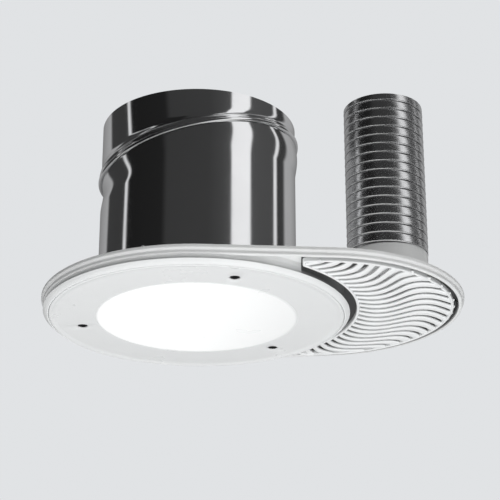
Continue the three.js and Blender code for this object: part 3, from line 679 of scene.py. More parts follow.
def made(name: str, bm: BMesh, node: str, finish: Finish, body: Body = Body.FITTING,
         sharp: float = 32.0) -> bpy.types.Object:
    """Makes a finished piece from a solid in millimetres.

    Args:
        name: The piece's name.
        bm: The solid. It is freed.
        node: The frame node that the piece stands for.
        finish: The piece's finish, which knows its slot.
        body: The body that the piece rides on.
        sharp: Edges that turn by more than this many degrees stay sharp.

    Returns:
        The piece, riding on its body.
    """
    bmesh.ops.scale(bm, vec=(MM, MM, MM), verts=bm.verts)
    mesh = bpy.data.meshes.new(name)
    bm.to_mesh(mesh)
    bm.free()
    mesh.shade_smooth()
    mesh.set_sharp_from_angle(angle=math.radians(sharp))
    piece = bpy.data.objects.new(name, mesh)
    bpy.context.scene.collection.objects.link(piece)
    mesh.materials.append(finish.material())
    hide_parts(node)
    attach(piece, body.value)
    log.info("%s: %d faces, rides on %s", name, len(mesh.polygons), body.value)
    return piece


@dataclass(frozen=True)
class Outline:
    """The flange's outline: a round end about the tube and one about the vent, with straight sides."""

    tube_end: float = field(default_factory=lambda: -edge("ceiling_flange", "x", Side.LOW))
    vent_end: float = 185.0
    vent_x: float = 154.0
    facets: int = 240

    def turn(self) -> float:
        """Returns the angle at which the straight sides leave both round ends."""
        return math.acos((self.tube_end - self.vent_end) / self.vent_x)

    def carry(self, profile: Sequence[Point]) -> BMesh:
        """Carries a closed profile of (inset, height) points round the outline."""
        bm = spun([(self.tube_end - inset, height) for inset, height in profile], self.facets)
        turn, step = self.turn(), FULL_TURN / self.facets
        last = math.floor(turn / step) * step
        for vert in bm.verts:
            angle = math.atan2(vert.co.y, vert.co.x)
            size = abs(angle)
            inset = self.tube_end - math.hypot(vert.co.x, vert.co.y)
            on_vent = size < last + step / 2
            radius = (self.vent_end if on_vent else self.tube_end) - inset
            spread = (turn * size / last if on_vent
                      else math.pi - (math.pi - turn) * (math.pi - size) / (math.pi - last - step))
            moved = math.copysign(spread, angle)
            vert.co.x = (self.vent_x if on_vent else 0.0) + radius * math.cos(moved)
            vert.co.y = radius * math.sin(moved)
        return bm

    def crescent(self, inner: float, outer: float, tip_x: float, low: float, high: float) -> BMesh:
        """Returns what lies inside outer about the vent, outside inner about the tube and beyond tip_x."""
        blank = rod(outer, low, high, (self.vent_x, 0), 180)
        blank = carved(blank, rod(inner, low - 1, high + 1, steps=240), Cut.REMOVE)
        reach = self.vent_x + outer + 1
        return carved(blank, block((tip_x, -outer - 1, low - 2), (reach, outer + 1, high + 2)), Cut.KEEP)


@dataclass(frozen=True)
class Stack:
    """Heights and radii that the flange, the diffuser and the vent share."""

    outline: Outline = field(default_factory=Outline)
    rim_width: float = 8.0
    dish_r: float = 191.5
    dish_z: float = field(default_factory=lambda: edge("ceiling_flange", "z", Side.LOW))
    web: float = 3.0
    well_r: float = 187.5
    well_x: float = 130.5
    wall: float = 1.5
    wall_top: float = 1.0
    lens_r: float = field(default_factory=lambda: edge("diffuser_lens", "x", Side.HIGH))
    lens_z: float = field(default_factory=lambda: edge("diffuser_lens", "z", Side.LOW))
    lens_lip: float = 1.4
    lens_thick: float = 1.5
    inner_lens_r: float = 138.0
    ring_web: float = 1.8
    screw_circle: float = 150.0
    screw_angles: tuple[float, ...] = (50.0, 170.0, 290.0)
    shank_r: float = 2.0
    head_r: float = 6.1
    small_head_r: float = 4.5
    boss_r: float = 4.8

    @property
    def well_outer(self) -> float:
        """The vent well's outer radius about the vent."""
        return self.outline.vent_end - self.rim_width

    @property
    def lens_face(self) -> float:
        """The diffuser's flat lower face."""
        return self.lens_z + self.lens_lip

    @property
    def ring_web_z(self) -> float:
        """The underside of the holder ring's web."""
        return edge("diffuser_ring", "z", Side.HIGH) - self.ring_web

    @property
    def ledge_top(self) -> float:
        """The height of the ledge that carries the second lens."""
        return self.ring_web_z + 0.4

    @property
    def lens_top(self) -> float:
        """The diffuser's upper face."""
        return self.lens_face + self.lens_thick

    def around(self, circle: float, angles: Iterable[float]) -> list[Point]:
        """Returns the places of fixings on a circle about the tube."""
        return [polar(circle, angle) for angle in angles]


@dataclass
class Flange:
    """The moulded ceiling flange with its rim, tray, collar, vent well and bosses, and its seal."""

    stack: Stack
    rim_height: float = 11.0
    lip_height: float = 4.0
    cove: float = 2.8
    seal_inset: float = 2.6
    seal_width: float = 3.8
    seal_depth: float = 1.5
    plate_top: float = -2.1
    plate: float = 2.0
    light_r: float = 124.0
    collar_r: float = 130.0
    collar_wall: float = 2.5
    collar_top: float = 24.0
    inner_seal_r: float = 131.3
    inner_seal_width: float = 5.0
    facets: int = 240

    def rim(self) -> BMesh:
        """Returns the rounded lip that shows round the whole outline, grooved for its seal."""
        width, height = self.stack.rim_width, self.rim_height
        seal_end = self.seal_inset + self.seal_width
        profile = filleted([
            (0.0, 0.0, 1.4), (0.0, -self.lip_height, 2.0), (self.cove, -self.lip_height - 2.4, 1.6),
            (self.cove - 0.5, -height, 3.4), (width, -height, 1.6), (width, 0.0),
            (seal_end, 0.0, 0.3), (seal_end, -self.seal_depth), (self.seal_inset, -self.seal_depth),
            (self.seal_inset, 0.0, 0.3)], 6)
        return self.stack.outline.carry(profile)

    def dish(self) -> BMesh:
        """Returns the round tray under the tube with its outer cove and the tube's collar."""
        s = self.stack
        top = s.dish_z + s.web
        outer = self.collar_r + self.collar_wall
        seal_end = self.inner_seal_r + self.inner_seal_width
        return spun(filleted([
            (self.light_r, s.dish_z, 0.8), (self.inner_seal_r, s.dish_z), (self.inner_seal_r, s.dish_z + 1),
            (seal_end, s.dish_z + 1), (seal_end, s.dish_z), (s.dish_r, s.dish_z, 1.6),
            (s.dish_r + 1.0, -9.0, 3.0), (s.dish_r + 2.7, self.plate_top - self.plate, 1.0),
            (s.dish_r + 2.7, self.plate_top), (s.dish_r - s.web, self.plate_top, 0.5),
            (s.dish_r - s.web, top, 1.0), (outer, top, 1.5), (outer, self.collar_top, 0.8),
            (self.collar_r, self.collar_top, 0.5), (self.collar_r, top), (self.light_r, top, 0.8)], 5),
            self.facets)

    def plate_ring(self) -> BMesh:
        """Returns the flat plate that fills between the tray and the rim."""
        inset = self.stack.rim_width - 1
        shape = [(inset, self.plate_top - self.plate), (inset, self.plate_top),
                 (120.0, self.plate_top), (120.0, self.plate_top - self.plate)]
        ring = self.stack.outline.carry(shape)
        hole = rod(self.stack.dish_r + 1, -FAR, FAR, steps=self.facets)
        return carved(ring, hole, Cut.REMOVE)

    def build(self) -> None:
        """Builds the flange and its seal."""
        s = self.stack
        bosses: list[BMesh] = []
        holes: list[BMesh] = []
        for x, y in s.around(s.screw_circle, s.screw_angles):
            bosses.append(rod(s.boss_r, s.dish_z + 1, -2.5, (x, y)))
            holes.append(rod(s.shank_r + GAP, s.dish_z - 1, -3.3, (x, y)))
        for x, y in s.around(Fixings.ceiling_circle, Fixings.ceiling_angles):
            bosses.append(rod(s.boss_r, s.dish_z + 1, -GAP, (x, y)))
            holes.append(carved(rod(s.shank_r + GAP, s.dish_z - 1, 1, (x, y)),
                                rod(s.small_head_r + GAP, s.dish_z - 1, s.dish_z + 1.8, (x, y)), Cut.JOIN))
        for x, y in s.around(Fixings.box_circle, Fixings.box_angles):
            bosses.append(rod(s.boss_r, s.dish_z + 1, s.wall_top, (x, y)))
            holes.append(rod(s.shank_r + GAP, -8, s.wall_top + 1, (x, y)))
        body = worked(self.rim(), (Cut.JOIN, self.plate_ring()), (Cut.JOIN, self.dish()),
                      (Cut.REMOVE, s.outline.crescent(s.well_r, s.well_outer, s.well_x, -FAR, FAR)))
        inner = spun([(s.well_r - 2, s.dish_z + s.web - 1), (s.well_r, s.dish_z + s.web - 1),
                      (s.well_r, s.wall_top), (s.well_r - 2, s.wall_top)], self.facets)
        reach = s.well_r + 1
        inner = carved(inner, block((s.well_x - 10, -reach, -FAR), (reach, reach, FAR)), Cut.KEEP)
        outer = s.outline.crescent(s.well_r - 2, s.well_outer + s.wall, s.well_x - s.wall,
                                   self.plate_top - 1, s.wall_top)
        outer = carved(outer, s.outline.crescent(s.well_r - 4, s.well_outer, s.well_x, -FAR, FAR), Cut.REMOVE)
        body = worked(body, (Cut.JOIN, inner), (Cut.JOIN, outer), (Cut.JOIN, merged(bosses)),
                      (Cut.REMOVE, merged(holes)))
        # the flange's air passage walls get painted shade
        made("flange_moulding", body, "ceiling_flange", PASSAGE_SHADE_PLASTIC)
        low, high = self.seal_inset + GAP, self.seal_inset + self.seal_width - GAP
        seal = s.outline.carry(filleted([(low, GAP - self.seal_depth), (high, GAP - self.seal_depth),
                                         (high, 0.0, 0.5), (low, 0.0, 0.5)]))
        made("rim_foam", seal, "ceiling_seal", Foam())


@dataclass
class LightTube:
    """The two lengths of mirror-finished tube that swivel on each other in a tilted plane."""

    radius: float = 127.0
    sheet: float = 0.8
    top: float = field(default_factory=lambda: edge("upper_tube", "z", Side.HIGH))
    bottom: float = field(default_factory=lambda: edge("lower_tube", "z", Side.LOW))
    elbow_z: float = 190.0
    tilt: float = math.radians(12.5)
    lip_reach: float = 2.7
    lip_height: float = 2.9
    bead_wall: float = 0.9
    running_gap: float = 0.5
    ridge: float = 1.5
    neck_far: float = -44.0
    neck_near: float = -4.5
    neck_steps: int = 12
    plain_z: float = 60.0
    seal_r: float = 129.4
    seal_low: float = 15.0
    seal_high: float = 22.0
    facets: int = 256

    def level(self, radius: float, angle: float, height: float) -> Vector:
        """Returns a point of a level ring."""
        return Vector((radius * math.cos(angle), radius * math.sin(angle), height))

    def tilted(self, radius: float, angle: float, rise: float, roundness: float) -> Vector:
        """Returns a point of a ring that lies parallel to the tilted plane.

        Args:
            radius: The ring's radius where it still has the upright tube's section.
            angle: The angle round the tube.
            rise: The ring's distance above the tilted plane.
            roundness: From 0, the tube's own section, to 1, a true circle about the swivel axis.
        """
        c, s = math.cos(self.tilt), math.sin(self.tilt)
        x, y = radius * math.cos(angle), radius * math.sin(angle)
        on_tube = Vector((x, y, self.elbow_z + (rise + x * s) / c))
        grown = radius + self.radius / c - self.radius
        u = grown * math.cos(angle)
        on_circle = Vector((u * c - rise * s, grown * math.sin(angle), self.elbow_z + u * s + rise * c))
        return on_tube.lerp(on_circle, roundness)

    def drawn(self, rows: Sequence[Row]) -> BMesh:
        """Draws a closed tube from rows of (radius, height or rise, roundness or None for a level ring)."""
        bm = spun([(row[0], 10.0 * index) for index, row in enumerate(rows)], self.facets)
        for vert in bm.verts:
            radius, rise, roundness = rows[round(vert.co.z / 10.0)]
            angle = math.atan2(vert.co.y, vert.co.x)
            if roundness is None:
                vert.co = self.level(radius, angle, rise)
            else:
                vert.co = self.tilted(radius, angle, rise, roundness)
        bmesh.ops.recalc_face_normals(bm, faces=bm.faces)
        return bm

    def neck(self, radius: float) -> list[Row]:
        """Returns rows that ease from the tube's section to a true circle below the tilted plane."""
        rows = []
        for step in range(self.neck_steps + 1):
            share = step / self.neck_steps
            rise = self.neck_far + (self.neck_near - self.neck_far) * share
            rows.append((radius, rise, share * share * (3 - 2 * share)))
        return rows

    def lower(self) -> BMesh:
        """Returns the lower tube with its turned-out, rounded lip."""
        inner = self.radius - self.sheet
        low = -0.72 * self.lip_height
        high = low + self.lip_height
        half = self.lip_height / 2
        lip_r = self.radius + self.lip_reach - half
        lip = [(lip_r + half * math.sin(turn), low + half - half * math.cos(turn), 1.0)
               for turn in (math.radians(18 * k) for k in range(11))]
        return self.drawn([
            (self.radius, self.bottom, None), (self.radius, self.plain_z, None), *self.neck(self.radius),
            (self.radius, low - 0.4, 1.0), *lip, (self.radius + 0.3, high, 1.0), (inner, high - 0.5, 1.0),
            (inner, low, 1.0), *reversed(self.neck(inner)), (inner, self.plain_z, None),
            (inner, self.bottom, None)])

    def upper(self) -> BMesh:
        """Returns the upper tube, whose hem wraps the lower tube's lip as a round bead."""
        inner = self.radius - self.sheet
        lip_low = -0.72 * self.lip_height
        lip_high = lip_low + self.lip_height
        hollow = self.radius + self.lip_reach + GAP
        under, over = lip_low - GAP, lip_high + GAP
        bottom = under - self.bead_wall
        middle, half = (bottom + over + 1.1) / 2, (over + 1.1 - bottom) / 2
        reach = hollow + self.bead_wall - self.radius - self.running_gap
        bead = []
        for k in range(13):
            turn = math.radians(-90 + 15 * k)
            bulge = abs(math.cos(turn)) ** 0.9
            bead.append((self.radius + self.running_gap + reach * bulge, middle + half * math.sin(turn), 1.0))
        crest = over + 5.4
        ridge = [(self.radius + self.ridge * (0.5 - 0.5 * math.cos(turn)),
                  crest + 2.0 * (turn / math.pi - 1), 0.95)
                 for turn in (math.radians(36 * k) for k in range(1, 10))]
        ease = [(self.radius, rise, weight) for rise, weight in
                ((over + 8.6, 0.85), (over + 10.6, 0.6), (over + 12.8, 0.3), (over + 15, 0.1), (over + 18, 0.0))]
        inside = [(inner, rise, weight) for _, rise, weight in ease]
        return self.drawn([
            *bead, (self.radius + 0.1, over + 2.6, 1.0), (self.radius, crest - 2.2, 0.97), *ridge, *ease,
            (self.radius, self.top, None), (inner, self.top, None), *reversed(inside),
            (inner, over + 3.4, 1.0), (inner, over, 1.0), (hollow, over, 1.0), (hollow, under, 1.0),
            (self.radius + self.running_gap, under, 1.0)])

    def build(self) -> None:
        """Builds both tubes and the seal in the collar."""
        made("lower_tube_sheet", self.lower(), "lower_tube", MirrorSheet(), Body.LOWER, sharp=40.0)
        made("upper_tube_sheet", self.upper(), "upper_tube", MirrorSheet(), Body.UPPER, sharp=40.0)
        seal = washer(self.radius + GAP, self.seal_r, self.seal_low, self.seal_high)
        made("collar_foam", seal, "tube_seal", Foam())


@dataclass
class Diffuser:
    """The flared holder ring, the opal lens, the second lens and their seals."""

    stack: Stack
    skirt_r: float = field(default_factory=lambda: edge("diffuser_ring", "x", Side.HIGH))
    dimple_r: float = 7.0
    step_r: float = 128.0
    gasket_inset: float = 5.95
    gasket_width: float = 9.0
    second_thick: float = 1.5
    seal_inner_r: float = 131.6
    seal_outer_r: float = 136.0
    facets: int = 240

    def ring(self) -> BMesh:
        """Returns the flared ring that holds both lenses."""
        s = self.stack
        web_top = s.ring_web_z + s.ring_web
        hole = s.inner_lens_r - 6
        seat = s.lens_r + GAP + 0.3
        body = spun(filleted([
            (hole, s.ring_web_z - 0.6, 0.4), (s.inner_lens_r + 3, s.ring_web_z - 0.6),
            (s.inner_lens_r + 3, s.ring_web_z), (s.lens_r - 1.2, s.ring_web_z, 0.6),
            (seat, s.lens_face + 0.8, 0.4), (seat, s.lens_z + 1.0, 0.25), (s.lens_r + 1.9, s.lens_z + 0.9, 0.6),
            (self.skirt_r - 3.0, s.lens_z + 3.2, 5.0), (self.skirt_r, web_top - 0.3, 0.3),
            (self.skirt_r - 0.6, web_top, 0.2), (s.inner_lens_r + GAP, web_top),
            (s.inner_lens_r + GAP, s.ledge_top), (hole, s.ledge_top, 0.3)], 6), self.facets)
        holes = [rod(s.shank_r + GAP, s.ring_web_z - 3, web_top + 3, at)
                 for at in s.around(s.screw_circle, s.screw_angles)]
        return carved(body, merged(holes), Cut.REMOVE)

    def lens(self) -> BMesh:
        """Returns the opal lens with its rolled edge, its moulded step and its three dimples."""
        s = self.stack
        r, z = s.lens_r, s.lens_z
        disc = spun(filleted([
            (0.0, s.lens_face), (self.step_r - 1.2, s.lens_face, 1.0), (self.step_r, s.lens_face + 0.45, 1.0),
            (self.step_r + 1.4, s.lens_face, 1.0), (r - 8.0, s.lens_face, 8.0), (r - 4.2, z + 0.45, 3.0),
            (r - 2.4, z, 2.4), (r - 0.4, z + 0.5, 1.4), (r, z + 1.8, 1.0), (r, s.lens_top, 0.5),
            (0.0, s.lens_top)], 6), self.facets)
        cup_top, floor = s.ring_web_z - GAP, s.lens_top + 0.9
        places = s.around(s.screw_circle, s.screw_angles)
        cups = [rod(self.dimple_r + 0.6, s.lens_top - 0.3, cup_top, at, 48) for at in places]
        disc = carved(disc, merged(cups), Cut.JOIN)
        pockets = [spun(filleted([
            (0.0, s.lens_face - 2), (self.dimple_r + 1.4, s.lens_face - 2),
            (self.dimple_r + 1.4, s.lens_face - 0.02), (self.dimple_r - 0.1, s.lens_face + 0.5, 0.6),
            (self.dimple_r - 0.6, floor, 0.2), (0.0, floor)]), 56, at)
            for at in places]
        disc = carved(disc, merged(pockets), Cut.REMOVE)
        holes = [rod(s.shank_r + GAP, s.lens_face - 3, cup_top + 1, at) for at in places]
        return carved(disc, merged(holes), Cut.REMOVE)

    def build(self) -> None:
        """Builds the ring, the lenses and the seals."""
        s = self.stack
        made("diffuser_holder", self.ring(), "diffuser_ring", WhitePlastic())
        made("opal_diffuser", self.lens(), "diffuser_lens", OpalLens(), sharp=24.0)
        low = s.ledge_top + GAP
        high = low + self.second_thick
        second = spun(filleted([(0.0, low), (s.inner_lens_r, low, 0.4), (s.inner_lens_r, high, 0.4),
                                (0.0, high)]), self.facets)
        made("second_lens", second, "inner_lens", ClearAcrylic())
        gasket_r = s.lens_r - self.gasket_inset
        gasket = washer(gasket_r - self.gasket_width, gasket_r, s.lens_top + GAP, s.ring_web_z - GAP)
        made("diffuser_foam", gasket, "diffuser_gasket", Foam())
        seal = washer(self.seal_inner_r, self.seal_outer_r, low + self.second_thick + GAP,
                      s.dish_z + 1 - GAP, 0.0)
        made("second_lens_foam", seal, "inner_lens_seal", Foam())


@dataclass
class Grille:
    """The crescent grille: a rounded band round its edge and wavy ribs about the tube's axis."""

    stack: Stack
    groove: float = 5.5
    inner_r: float = 203.0
    tip_x: float = field(default_factory=lambda: edge("vent_grille", "x", Side.LOW))
    low: float = field(default_factory=lambda: edge("vent_grille", "z", Side.LOW))
    band: float = 4.0
    band_height: float = 6.0
    rib_depth: Point = (0.6, 4.6)
    slot_count: int = 25
    pitch: float = 4.0
    slot_width: float = 5.8
    swing: float = 3.3
    wave_length: float = 116.0
    crest_r: float = 229.0
    shift: float = -0.7

    @property
    def outer_r(self) -> float:
        """The grille's outer radius about the vent."""
        return self.stack.well_outer - self.groove

    def band_line(self) -> list[Point]:
        """Returns the middle line of the edge band, closed, with rounded corners."""
        inset = self.band / 2
        outer, inner = self.outer_r - inset, self.inner_r + inset
        tip, vent_x = self.tip_x + inset, self.stack.outline.vent_x
        far_turn = math.degrees(math.acos((tip - vent_x) / outer))
        near_turn = math.degrees(math.acos(tip / inner))
        corners: list[Corner] = []
        for k in range(61):
            x, y = polar(outer, far_turn * (k / 30 - 1))
            corners.append((vent_x + x, y, 3.5 if k in (0, 60) else 0.0))
        for k in range(41):
            corners.append((*polar(inner, near_turn * (1 - k / 20)), 3.5 if k in (0, 40) else 0.0))
        return filleted(corners, 4)

    def edge_band(self) -> BMesh:
        """Returns the rounded band that runs round the grille's edge."""
        line = [Vector(point) for point in self.band_line()]
        line = [point for k, point in enumerate(line) if (point - line[k - 1]).length > 0.05]
        count = len(line)
        half, high = self.band / 2, self.low + self.band_height
        section = filleted([(-half, self.low, 1.9), (half, self.low, 1.9),
                            (half, high, 0.5), (-half, high, 0.5)], 5)

        def place(along: float, around: float) -> Vector:
            here = round(along * count) % count
            lateral, height = section[round(around * len(section)) % len(section)]
            ahead = line[(here + 1) % count] - line[here]
            behind = line[here] - line[here - 1]
            run = (ahead.normalized() + behind.normalized()).normalized()
            return Vector((line[here].x + run.y * lateral, line[here].y - run.x * lateral, height))

        return formed(count, len(section), place)

    def wave(self, radius: float, centre: float) -> Vector:
        """Returns the plan point of a wavy line at a radius about the tube."""
        phase = FULL_TURN * (radius - self.crest_r) / self.wave_length
        return Vector(polar(radius, centre + self.shift + self.swing * math.cos(phase)))

    def inside(self, point: Vector) -> bool:
        """Says whether a plan point lies within the middle line of the edge band."""
        inset = self.band / 2
        from_vent = (point - Vector((self.stack.outline.vent_x, 0))).length
        return from_vent < self.outer_r - inset and point.x > self.tip_x + inset

    def rib(self, centre: float) -> BMesh | None:
        """Returns one wavy rib with a crowned underside, or None where it has no room."""
        first = self.inner_r + self.band / 2
        radii = [first + 0.25 * k for k in range(600)]
        kept = [radius for radius in radii if self.inside(self.wave(radius, centre))]
        if len(kept) < 24:
            return None
        start, end = kept[0], kept[-1]
        columns, rows = 30, 16
        middle = self.low + sum(self.rib_depth) / 2
        half_height = (self.rib_depth[1] - self.rib_depth[0]) / 2

        def place(along: float, around: float) -> Vector:
            radius = start + (end - start) * along
            here = self.wave(radius, centre)
            run = (self.wave(radius + 0.5, centre) - self.wave(radius - 0.5, centre)).normalized()
            width = math.radians(self.pitch) * radius * run.dot(here.normalized()) - self.slot_width
            turn = FULL_TURN * around
            c, s = math.cos(turn), math.sin(turn)
            lateral = math.copysign(abs(c) ** 0.7, c) * width / 2
            height = middle + math.copysign(abs(s) ** 0.8, s) * half_height
            return Vector((here.x - run.y * lateral, here.y + run.x * lateral, height))

        return formed(columns, rows, place)

    def build(self) -> None:
        """Builds the grille."""
        half = self.slot_count / 2
        ribs = [self.rib((index - half) * self.pitch) for index in range(self.slot_count + 1)]
        body = carved(self.edge_band(), merged(rib for rib in ribs if rib), Cut.JOIN)
        made("grille_moulding", body, "vent_grille", WhitePlastic(), Body.GRILLE)


@dataclass
class AirBox:
    """The hopper over the grille with its spigot, and the damper inside the spigot."""

    stack: Stack
    spigot_x: float = 245.0
    spigot_r: float = 51.6
    bore_r: float = 47.6
    nozzle_r: float = 49.7
    nozzle_length: float = 26.5
    shoulder: float = 61.6
    roof_z: float = 36.0
    roof: float = 2.0
    hinge_offset: float = 8.0
    hinge_z: float = 52.0
    flap_r: float = 45.6
    flap: float = 1.2
    pin_r: float = 1.5
    barrel_r: float = 3.2
    seat: float = 1.4
    seat_width: float = 3.4
    facets: int = 128

    @property
    def hinge(self) -> Vector:
        """The middle of the damper's hinge."""
        return Vector((self.spigot_x - self.hinge_offset, 0, self.hinge_z))

    @property
    def pin_reach(self) -> float:
        """Half the length of the hinge pin."""
        return math.sqrt(self.bore_r ** 2 - self.hinge_offset ** 2) + 1.4

    def hopper(self) -> BMesh:
        """Returns the crescent hopper that rises to the spigot, open below."""
        s = self.stack
        base = s.wall_top + GAP
        reach = 400.0
        outer = leaning_cone(s.well_outer + s.wall, base, s.outline.vent_x, self.spigot_r + 2, self.roof_z,
                             self.spigot_x)
        outer = worked(outer, (Cut.REMOVE, rod(s.well_r - 2, base - 1, self.roof_z + 1, steps=240)),
                       (Cut.KEEP, block((s.well_x - s.wall, -reach, base - 1), (reach, reach, self.roof_z + 1))))
        inner = leaning_cone(s.well_outer - 0.5, base - 0.5, s.outline.vent_x, self.spigot_r - 1,
                             self.roof_z - self.roof, self.spigot_x)
        inner = worked(inner, (Cut.REMOVE, rod(s.well_r, base - 2, self.roof_z + 1, steps=240)),
                       (Cut.KEEP, block((s.well_x, -reach, base - 2), (reach, reach, self.roof_z))))
        return carved(outer, inner, Cut.REMOVE)

    def spigot(self) -> BMesh:
        """Returns the round spigot with its shoulder and the nozzle that goes into the duct."""
        low, top = self.roof_z - self.roof, self.shoulder + self.nozzle_length
        return spun(filleted([
            (self.bore_r, low), (self.spigot_r, low), (self.spigot_r, self.shoulder, 0.8),
            (self.nozzle_r, self.shoulder, 0.4), (self.nozzle_r, top, 0.8), (self.bore_r, top, 0.5)]),
            self.facets, (self.spigot_x, 0))

    def stop(self, low: float, from_x: float, to_x: float) -> BMesh:
        """Returns a part ring inside the bore that the flap rests against."""
        inner, outer = self.bore_r - self.seat_width, self.bore_r + 1
        ring = spun([(inner, low), (outer, low), (outer, low + self.seat), (inner, low + self.seat)],
                    self.facets, (self.spigot_x, 0))
        return carved(ring, block((from_x, -outer, low - 1), (to_x, outer, low + self.seat + 1)), Cut.KEEP)

    def build(self) -> None:
        """Builds the air box, the flap and its pin."""
        s = self.stack
        base, ear_top = s.wall_top + GAP, s.wall_top + GAP + 2
        bore = rod(self.bore_r, self.roof_z - 12, self.roof_z + 8, (self.spigot_x, 0), self.facets)
        clear = self.barrel_r + 2
        flap_low, flap_top = self.hinge_z - self.flap / 2, self.hinge_z + self.flap / 2
        body = worked(self.hopper(), (Cut.REMOVE, bore), (Cut.JOIN, self.spigot()),
                      (Cut.JOIN, self.stop(flap_low - GAP - self.seat, self.hinge.x + clear, 400)),
                      (Cut.JOIN, self.stop(flap_top + GAP, 100, self.hinge.x - clear)))
        places = s.around(Fixings.box_circle, Fixings.box_angles)
        for angle, at in zip(Fixings.box_angles, places):
            link = block((Fixings.box_circle, -4, base), (s.well_r - 1, 4, ear_top))
            bmesh.ops.rotate(link, verts=link.verts, cent=(0, 0, 0),
                             matrix=Matrix.Rotation(math.radians(angle), 3, "Z"))
            body = carved(body, carved(rod(s.boss_r + 1.2, base, ear_top, at), link, Cut.JOIN), Cut.JOIN)
        holes = merged(rod(s.shank_r + GAP, base - 1, ear_top + 1, at) for at in places)
        body = worked(body, (Cut.REMOVE, holes),
                      (Cut.REMOVE, crossbar(self.pin_r + GAP, 2 * self.pin_reach + 1.4, self.hinge)))
        # the air box's inner walls get painted shade
        made("air_box_moulding", body, "air_box", PASSAGE_SHADE_PLASTIC)
        flap = worked(rod(self.flap_r, flap_low, flap_top, (self.spigot_x, 0), self.facets),
                      (Cut.JOIN, crossbar(self.barrel_r, 1.4 * self.flap_r, self.hinge)),
                      (Cut.REMOVE, crossbar(self.pin_r + GAP, 3 * self.flap_r, self.hinge)))
        made("damper_plate", flap, "damper_flap", WhitePlastic(), Body.DAMPER)
        pin = crossbar(self.pin_r, 2 * self.pin_reach, self.hinge)
        made("damper_rod", pin, "damper_pin", Steel(), Body.DAMPER)


@dataclass
class Duct:
    """The ribbed duct, wound from one strip with a spiral seam."""

    centre_x: float = 245.0
    crest: float = 52.4
    low: float = field(default_factory=lambda: edge("air_duct", "z", Side.LOW))
    top: float = field(default_factory=lambda: edge("air_duct", "z", Side.HIGH))
    pitch: float = 12.5
    groove: float = 0.95
    hem: float = 0.28
    bulge: float = 0.34
    rib: float = 0.09
    ribs: int = 5
    strip_steps: int = 24
    facets: int = 96
    wall: float = 0.3

    def strip(self) -> list[Point]:
        """Returns one pitch of the strip: a seam, its raised hem and a crowned, faintly ribbed face."""
        points = []
        for step in range(self.strip_steps + 1):
            share = step / self.strip_steps
            seam = math.exp(-((min(share, 1 - share) / 0.05) ** 2))
            hem = math.exp(-(((share - 0.12) / 0.045) ** 2))
            fine = 0.5 - 0.5 * math.cos(FULL_TURN * self.ribs * share)
            crown = (2 * share - 1) ** 2
            radius = (self.crest - self.hem * (1 - hem) - self.groove * seam
                      - self.bulge * crown * (1 - hem) - self.rib * (1 - fine) * (1 - seam))
            points.append((radius, share * self.pitch))
        return points

    def build(self) -> None:
        """Winds the duct, trims both ends square and gives it its wall."""
        turns = math.ceil((self.top - self.low) / self.pitch) + 2
        bm = bmesh.new()
        chain = [bm.verts.new((radius, 0, height)) for radius, height in self.strip()]
        edges = [bm.edges.new(pair) for pair in zip(chain, chain[1:])]
        bmesh.ops.spin(bm, geom=chain + edges, cent=(0, 0, 0), axis=(0, 0, 1),
                       dvec=(0, 0, -self.pitch / self.facets), angle=FULL_TURN * turns,
                       steps=turns * self.facets, use_merge=False)
        bmesh.ops.remove_doubles(bm, verts=bm.verts, dist=0.01)
        bmesh.ops.translate(bm, verts=bm.verts, vec=(self.centre_x, 0, self.top + self.pitch))
        for height, outwards in ((self.low, -1), (self.top, 1)):
            geometry = bm.verts[:] + bm.edges[:] + bm.faces[:]
            bmesh.ops.bisect_plane(bm, geom=geometry, dist=1e-4, plane_co=(0, 0, height),
                                   plane_no=(0, 0, outwards), clear_outer=True)
        bmesh.ops.recalc_face_normals(bm, faces=bm.faces)
        bmesh.ops.solidify(bm, geom=bm.faces[:], thickness=self.wall)
        for vert in bm.verts:
            vert.co.z = min(max(vert.co.z, self.low), self.top)
        duct = made("ribbed_duct", bm, "air_duct", DuctStrip(), sharp=60.0)
        duct.visible_glossy = False  # the mirror tube beside it stays clean


